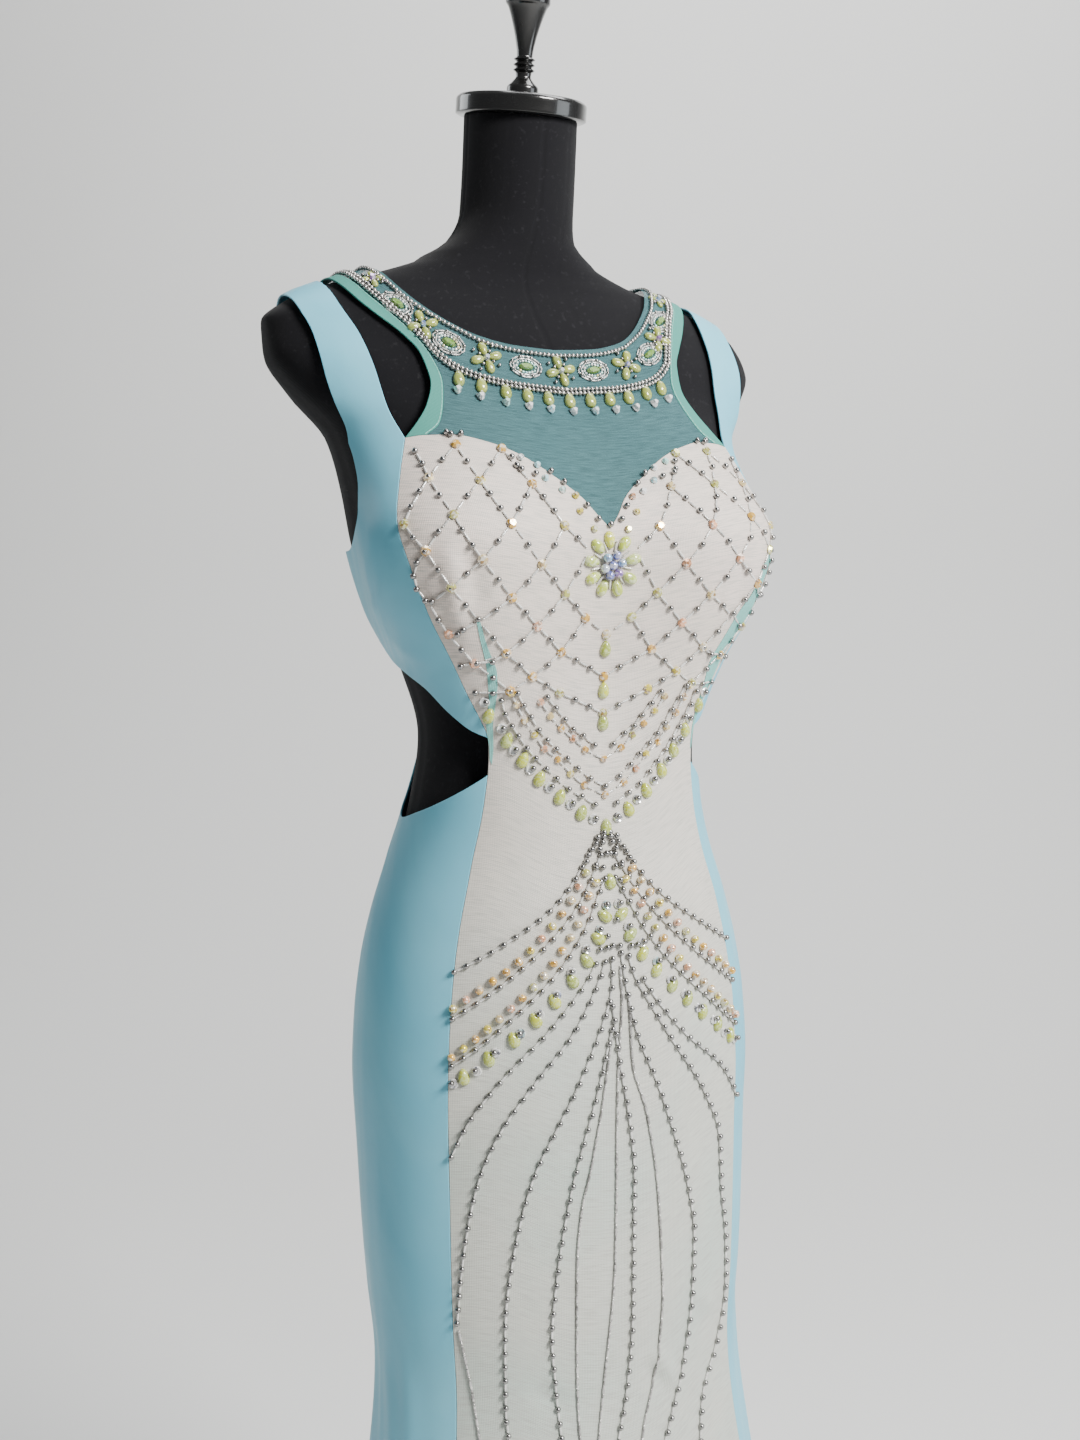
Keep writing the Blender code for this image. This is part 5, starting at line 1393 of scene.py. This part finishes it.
# Net facing beside the princess seams: a strip of the aqua net that shows past the cream lining
# from the cups to the waist, wider on the wearer's left.
RIGHT_INNER = ((43.4, 0.1118), (43.3, 0.0948), (42.8, 0.0815), (42.4, 0.0737), (42.8, 0.0652), (43.5, 0.0581),
               (44.6, 0.0510), (46.4, 0.0400), (47.7, 0.0308), (48.2, 0.0207), (48.5, 0.0128), (49.3, 0.0020))
RIGHT_OUTER = ((44.2, 0.1100), (44.6, 0.0949), (44.7, 0.0865), (44.9, 0.0788), (45.2, 0.0717), (45.7, 0.0646),
               (46.3, 0.0568), (47.1, 0.0496), (48.6, 0.0395), (49.9, 0.0309), (50.1, 0.0222), (49.9, 0.0164),
               (50.0, 0.0056))
LEFT_INNER = ((54.0, 0.1640), (50.5, 0.1480), (47.6, 0.1300), (46.4, 0.1150), (45.8, 0.1004), (45.4, 0.0886),
              (44.9, 0.0808), (44.8, 0.0730), (45.3, 0.0666), (46.4, 0.0584), (47.4, 0.0470), (48.3, 0.0324),
              (49.0, 0.0180), (49.6, 0.0044))
LEFT_OUTER = ((54.9, 0.1600), (54.2, 0.1400), (53.4, 0.1197), (52.5, 0.1078), (51.5, 0.0961), (51.0, 0.0858),
              (50.8, 0.0770), (51.0, 0.0690), (51.0, 0.0580), (50.8, 0.0450), (50.4, 0.0320), (50.1, 0.0180),
              (50.2, 0.0060))
STRIP_OVER = 0.0001
STRIP_WALL = 0.0003

aqua_facing = tape_finish("aqua_facing", 0.0012, (0.17, 0.46, 0.42, 1), (0.24, 0.53, 0.49, 1))
for side, cut in (("left", chain(by_angle(LEFT_INNER), by_angle(LEFT_OUTER)[::-1])),
                  ("right", mirrored(chain(by_angle(RIGHT_INNER), by_angle(RIGHT_OUTER)[::-1])))):
    strip, outline = cloth("facing_" + side, cut, aqua_facing, EASE + WALL + STRIP_OVER, STRIP_WALL,
                           folds=PANEL_FOLDS, clear=0.0015, seam=0.0)
    place_on_form(strip, "mesh_yoke")


# Flower brooch between the cups: nine lime drops round a cluster of blue and lilac crystals,
# sewn to the panel, with a silver bugle between every two petals.
BROOCH_Z = 0.1480
BROOCH_PETAL = (0.0136, 0.0082, 0.0046)
BROOCH_TURNS = (-7, 34, 77, 121, 161, 202, 240, 279, 317)
BROOCH_PETAL_OUT = 0.0180
CLUSTER_OUT = 0.0078
CLUSTER_BEAD = 0.0072
CLUSTER_OVER = 0.0004
CLUSTER_TURNS = (-46, 24, 78, 137, 202, 254)
RAY_OUT = (0.0106, 0.0172)              # where the bugle between two petals starts and ends
RAY_PITCH = 0.0066
RAY_BUGLE = (0.0046, 0.0018, 0.0010)    # length, width and how far up


def ring_on(angle, z, radius, turns, wide=1.0, tilt=0.0):
    """Rows of degrees, height and lean at some turns round a middle, each leaning towards it."""
    middle = body(angle, z)
    away = outward(middle[None])[0]
    side = np.cross((0, 0, 1), away)
    side /= np.linalg.norm(side)
    up = np.cross(away, side)
    across = wide * (side * math.cos(tilt) + up * math.sin(tilt))
    over = up * math.cos(tilt) - side * math.sin(tilt)
    turns = np.radians(turns)
    offset = across * np.sin(turns)[:, None] + over * np.cos(turns)[:, None]
    found, heights, _ = polar(settle(middle + radius * offset))
    return list(zip(np.degrees(found), heights, np.degrees(turns) + 180))


lime_crystal = tinted_glass(
    "lime_crystal", ((0.0, (0.50, 0.60, 0.07)), (0.35, (0.64, 0.66, 0.06)), (0.7, (0.46, 0.56, 0.12))),
    (0.30, 0.40, 0.08, 1), 0.35, Roughness=0.10, Coat_Weight=1.0, Coat_Roughness=0.03)
stones("brooch_petals", DROP_SHAPE, ring_on(0.0, BROOCH_Z, BROOCH_PETAL_OUT, BROOCH_TURNS), BROOCH_PETAL,
       lime_crystal, slot="lime_stone", folds=(), seed=9, sharp=70, instead=["brooch_flower"])
cluster = ring_on(0.0, BROOCH_Z, CLUSTER_OUT, CLUSTER_TURNS) + [(0.0, BROOCH_Z, 0)]
stones("brooch_cluster", ROUND_BEAD, cluster, CLUSTER_BEAD, blue_crystal, over=EASE + WALL + CLUSTER_OVER,
       folds=(), seed=12, sharp=80)
half_turns = [(turn + after) / 2 for turn, after in
              zip(BROOCH_TURNS, (*BROOCH_TURNS[1:], BROOCH_TURNS[0] + 360))]
ray_ends = [ring_on(0.0, BROOCH_Z, radius, half_turns) for radius in RAY_OUT]
rays = [string([near[:2], far[:2]]) for near, far in zip(*ray_ends)]
bugles_along("brooch_rays", rays, RAY_PITCH, RAY_BUGLE[0], 14, clear_glass, *RAY_BUGLE[1:])


# Collar beadwork: pearl rows along both edges, four-petal flowers of lime drops, long green
# stones in ovals of bugles and seed beads, and a fringe of drops with crystal tips below.
# A row of mint stitches runs along the inner edge of each binding.
ON_NET = NET_LIFT + NET_WALL
PEARL = 0.0035
FLOWERS = ((0.0, 0.2956, 1.0), (43.0, 0.3030, 1.0), (62.3, 0.3268, 0.95), (76.0, 0.3625, 0.72))
LONG_STONES = ((23.6, 0.2976, 6), (55.5, 0.3137, 30), (68.2, 0.3425, 38))
PETAL = (0.0116, 0.0070, 0.0038)
PETAL_RING = 0.0073
LONG_STONE = (0.0118, 0.0056, 0.0034)
HANGING_DROPS = ((0.0, 0.2720), (13.8, 0.2730), (25.6, 0.2746), (35.7, 0.2767), (45.0, 0.2810),
                 (52.2, 0.2860))
TIP_DOWN = 0.0090
TIP = (0.0076, 0.0068, 0.0050)
TOP_ROW_IN = 0.0058
LOW_ROW_IN = 0.0022
SMALL_BALL = 0.0030
EVEN_TURNS = np.arange(0, 361, 15)
BALL_TURNS = np.arange(22, 360, 45)
STITCH_IN = 0.0011
FLOWER_BALLS = (0.0060, 0.0112)         # how far the two balls between a flower's petals are out
HEART = (0.0054, 0.0054, 0.0046)
FLOWER_TURN = 14
# Distance out and how much wider than high: the oval of seeds, two of bugles, and one of balls
SEED_OVAL = (0.0048, 1.65)
BUGLE_OVALS = ((0.0069, 1.6), (0.0088, 1.5))
BALL_OVAL = (0.0080, 1.55)
OVAL_PITCH = 0.0058
OVAL_BUGLE = (0.0030, 0.0016, 0.0008)   # length, width and how far up
OVAL_SEED = 0.0022


def drawn_in(curve, other, distance):
    """The curve moved by a distance towards another that runs beside it."""
    points = body(curve[:, 0], curve[:, 1])
    far = body(other[:, 0], other[:, 1])
    nearest = far[np.argmin(np.linalg.norm(points[:, None] - far[None], axis=2), axis=1)]
    towards = nearest - points
    towards /= np.linalg.norm(towards, axis=1)[:, None]
    angle, z, _ = polar(settle(points + towards * distance))
    return np.degrees(angle), z


def edge_row(curve, other, distance, over=ON_NET):
    """A string beside an edge, over the whole width of the front or on both backs."""
    degrees, z = drawn_in(curve, other, distance)
    rows = np.stack([degrees, z], -1)
    return [string(rows, folds=(), over=over), string(rows * (-1, 1), folds=(), over=over)]


long_green = opal_finish("green_opal", (0.09, 0.21, 0.03, 1), (0.20, 0.33, 0.10, 1), (0.16, 0.28, 0.04, 1))
lime_cabochon = opal_finish("lime_cabochon", (0.19, 0.25, 0.05, 1), (0.33, 0.39, 0.13, 1),
                            (0.38, 0.42, 0.07, 1))
pearl, tree = finish_of("silver_pearl", Metallic=0.9, Coat_Weight=0.6, Coat_Roughness=0.1)
tone = noise_on(tree, object_place(tree), 160.0, 2.0)
drive(tree, Base_Color=blend_colour(tree, tone, (0.30, 0.29, 0.28, 1), (0.62, 0.60, 0.57, 1)),
      Roughness=ranged(tree, tone, 0.0, 1.0, 0.18, 0.36))
stitch_thread, tree = finish_of("mint_thread", Roughness=0.6, Base_Color=(0.40, 0.74, 0.66, 1))

stitches = edge_row(binding_inner, armhole, STITCH_IN, EASE + WALL)
strung("binding_stitches", stitches, stitch_thread, slot="binding", Pitch=0.0034, Halfway=True, Tube=True,
       Length=0.0022, Width=0.0005, Sides=4)
back_low = by_point(COLLAR_BACK_LOW)
back_high = by_point(COLLAR_BACK_HIGH)
low_edge = np.concatenate([binding_inner[corner:][::-1], collar_low[1:]])
rows = edge_row(collar_high, low_edge, TOP_ROW_IN) + edge_row(back_high, back_low, TOP_ROW_IN)
for step in range(2):
    rows += edge_row(low_edge, collar_high, LOW_ROW_IN + step * PEARL)
    rows += edge_row(back_low, back_high, LOW_ROW_IN + step * PEARL)
for name, halfway in (("collar_pearls", False), ("collar_pearls_between", True)):
    strung(name, rows, pearl, Pitch=2 * PEARL, Halfway=halfway, Raise=0.45 * PEARL, Sides=8, Length=PEARL,
           Width=PEARL, Seed=41)
petals, sizes, hearts, small = [], [], [], []
for degrees, z, scale in FLOWERS:
    for side in (-1, 1) if degrees else (-1,):
        middle = math.radians(side * degrees)
        turns = np.arange(0, 360, 90) + FLOWER_TURN * side
        petals += ring_on(middle, z, scale * PETAL_RING, turns)
        for radius in FLOWER_BALLS:
            small += ring_on(middle, z, scale * radius, turns + 45)
        sizes += [[scale * size for size in PETAL]] * 4
        hearts.append((side * degrees, z, 0))
stones("collar_petals", DROP_SHAPE, petals, sizes, lime_cabochon, slot="lime_stone", over=ON_NET,
       folds=(), seed=15, sharp=70)
stones("collar_hearts", FACETED, hearts, HEART, blue_crystal, over=ON_NET, folds=(), seed=16)
BAGUETTE = stone_shape("long_stone", 8, ((1.0, 0.0), (1.0, 0.4), (0.72, 1.0)))
longs = both([(degrees, z, 90 - tilt) for degrees, z, tilt in LONG_STONES])
stones("collar_long_stones", BAGUETTE, longs, LONG_STONE, long_green, slot="lime_stone", over=ON_NET,
       folds=(), seed=17)
inner_ovals = []
outer_ovals = []
for degrees, z, lean in longs:
    tilt = math.radians(90 - lean if degrees > 0 else -90 - lean)
    middle = math.radians(degrees)
    for found, (radius, wide) in ((inner_ovals, SEED_OVAL), *((outer_ovals, oval) for oval in BUGLE_OVALS)):
        ring = ring_on(middle, z, radius, EVEN_TURNS, wide, tilt)
        found.append(string([row[:2] for row in ring], folds=(), over=ON_NET))
    small += ring_on(middle, z, BALL_OVAL[0], BALL_TURNS, BALL_OVAL[1], tilt)
strung("collar_oval_seeds", inner_ovals, pale_crystal, Pitch=0.0024, Raise=0.0008, Sides=7,
       Length=OVAL_SEED, Width=OVAL_SEED, Seed=19)
bugles_along("collar_oval_bugles", outer_ovals, OVAL_PITCH, OVAL_BUGLE[0], 18, clear_glass, *OVAL_BUGLE[1:])
silver_balls("collar_balls", small, SMALL_BALL, over=ON_NET, folds=())
hanging = both(HANGING_DROPS)
stones("collar_drops", DROP_SHAPE, hanging, LIME_DROP, lime_cabochon, slot="lime_stone", over=ON_NET,
       folds=(), seed=20, sharp=70)
tips = [(degrees, z - TIP_DOWN, 180) for degrees, z, _ in hanging]
TIP_SHAPE = stone_shape("pointed_crystal", 6, ((0.8, 0.0), (1.0, 0.35), (0.5, 1.0)), narrow=0.5)
stones("collar_tips", TIP_SHAPE, tips, TIP, pale_crystal, over=ON_NET, folds=(), seed=22)


# Stage: plain pale floor and soft studio light, with the camera at the photograph's place.
TURN = math.radians(25.755)
CAMERA_AWAY = 1.25489
CAMERA_HIGH = 0.12188
PITCH = math.radians(4.3515)
ROLL = math.radians(-1.055)
YAW = math.radians(-0.3677)
LENS = 39.04
FLOOR_FRONT = -6.0
FLOOR_HALF = 7.0
WALL_AWAY = 3.4
WALL_HIGH = 5.0
SWEEP = 1.4             # radius of the curve from floor to wall
BENDS = 24

# The floor curves up into a wall behind the dress, as seen by the camera
floor_finish, tree = finish_of("pale_floor", Base_Color=(0.80, 0.80, 0.79, 1), Roughness=0.8)
side_ways = np.array((math.cos(TURN), -math.sin(TURN), 0.0))
back_ways = np.array((math.sin(TURN), math.cos(TURN), 0.0))
profile = [(FLOOR_FRONT, 0.0), (WALL_AWAY - SWEEP, 0.0)]
for bend in np.radians(np.arange(1, BENDS + 1) * (90 / BENDS)):
    profile.append((WALL_AWAY - SWEEP + SWEEP * math.sin(bend), SWEEP * (1 - math.cos(bend))))
profile.append((WALL_AWAY, WALL_HIGH))
points = [back_ways * away + side_ways * side + (0, 0, height)
          for away, height in profile for side in (-FLOOR_HALF, FLOOR_HALF)]
faces = [(2 * i, 2 * i + 1, 2 * i + 3, 2 * i + 2) for i in range(len(profile) - 1)]
floor = mesh_object("floor", points, faces, floor_finish)

world = bpy.data.worlds.new("studio")
world.use_nodes = True
world.node_tree.nodes["Background"].inputs["Color"].default_value = (0.88, 0.90, 0.92, 1)
world.node_tree.nodes["Background"].inputs["Strength"].default_value = 0.20
bpy.context.scene.world = world


def softbox(name, place, aim, size, power, colour=(1, 1, 1)):
    """A square area light that shines from its place towards its aim."""
    light = bpy.data.lights.new(name, "AREA")
    light.size = size
    light.energy = power
    light.color = colour
    made = bpy.data.objects.new(name, light)
    made.location = place
    made.rotation_euler = (Vector(aim) - Vector(place)).to_track_quat("-Z", "Y").to_euler()
    bpy.context.scene.collection.objects.link(made)


softbox("key", (0.75, -1.9, 2.35), (0, 0, 1.25), 0.8, 135, (1.0, 0.98, 0.95))
softbox("fill", (2.4, -1.8, 1.2), (0, 0, 1.0), 1.4, 22, (0.90, 0.96, 1.0))
softbox("back", (-1.6, 2.2, 2.6), (0, 0, 1.2), 1.4, 22, (0.94, 0.98, 1.0))
softbox("wall", (1.2, 0.4, 4.6), (2.2, 3.4, 1.5), 2.6, 160)

forward = np.array((math.sin(TURN + YAW) * math.cos(PITCH), math.cos(TURN + YAW) * math.cos(PITCH),
                    -math.sin(PITCH)))
right = np.array((math.cos(TURN + YAW), -math.sin(TURN + YAW), 0.0))
up = np.cross(right, forward)
rolled_right = right * math.cos(ROLL) + up * math.sin(ROLL)
rolled_up = up * math.cos(ROLL) - right * math.sin(ROLL)
camera_data = bpy.data.cameras.new("camera")
camera_data.sensor_width = 36.0
camera_data.lens = LENS
camera = bpy.data.objects.new("camera", camera_data)
place = (-math.sin(TURN) * CAMERA_AWAY, -math.cos(TURN) * CAMERA_AWAY, CAMERA_HIGH + WAIST)
turn = np.stack([rolled_right, rolled_up, -forward], 1)
camera.matrix_world = Matrix([*([*row, at] for row, at in zip(turn, place)), [0, 0, 0, 1]])
bpy.context.scene.collection.objects.link(camera)
bpy.context.scene.camera = camera
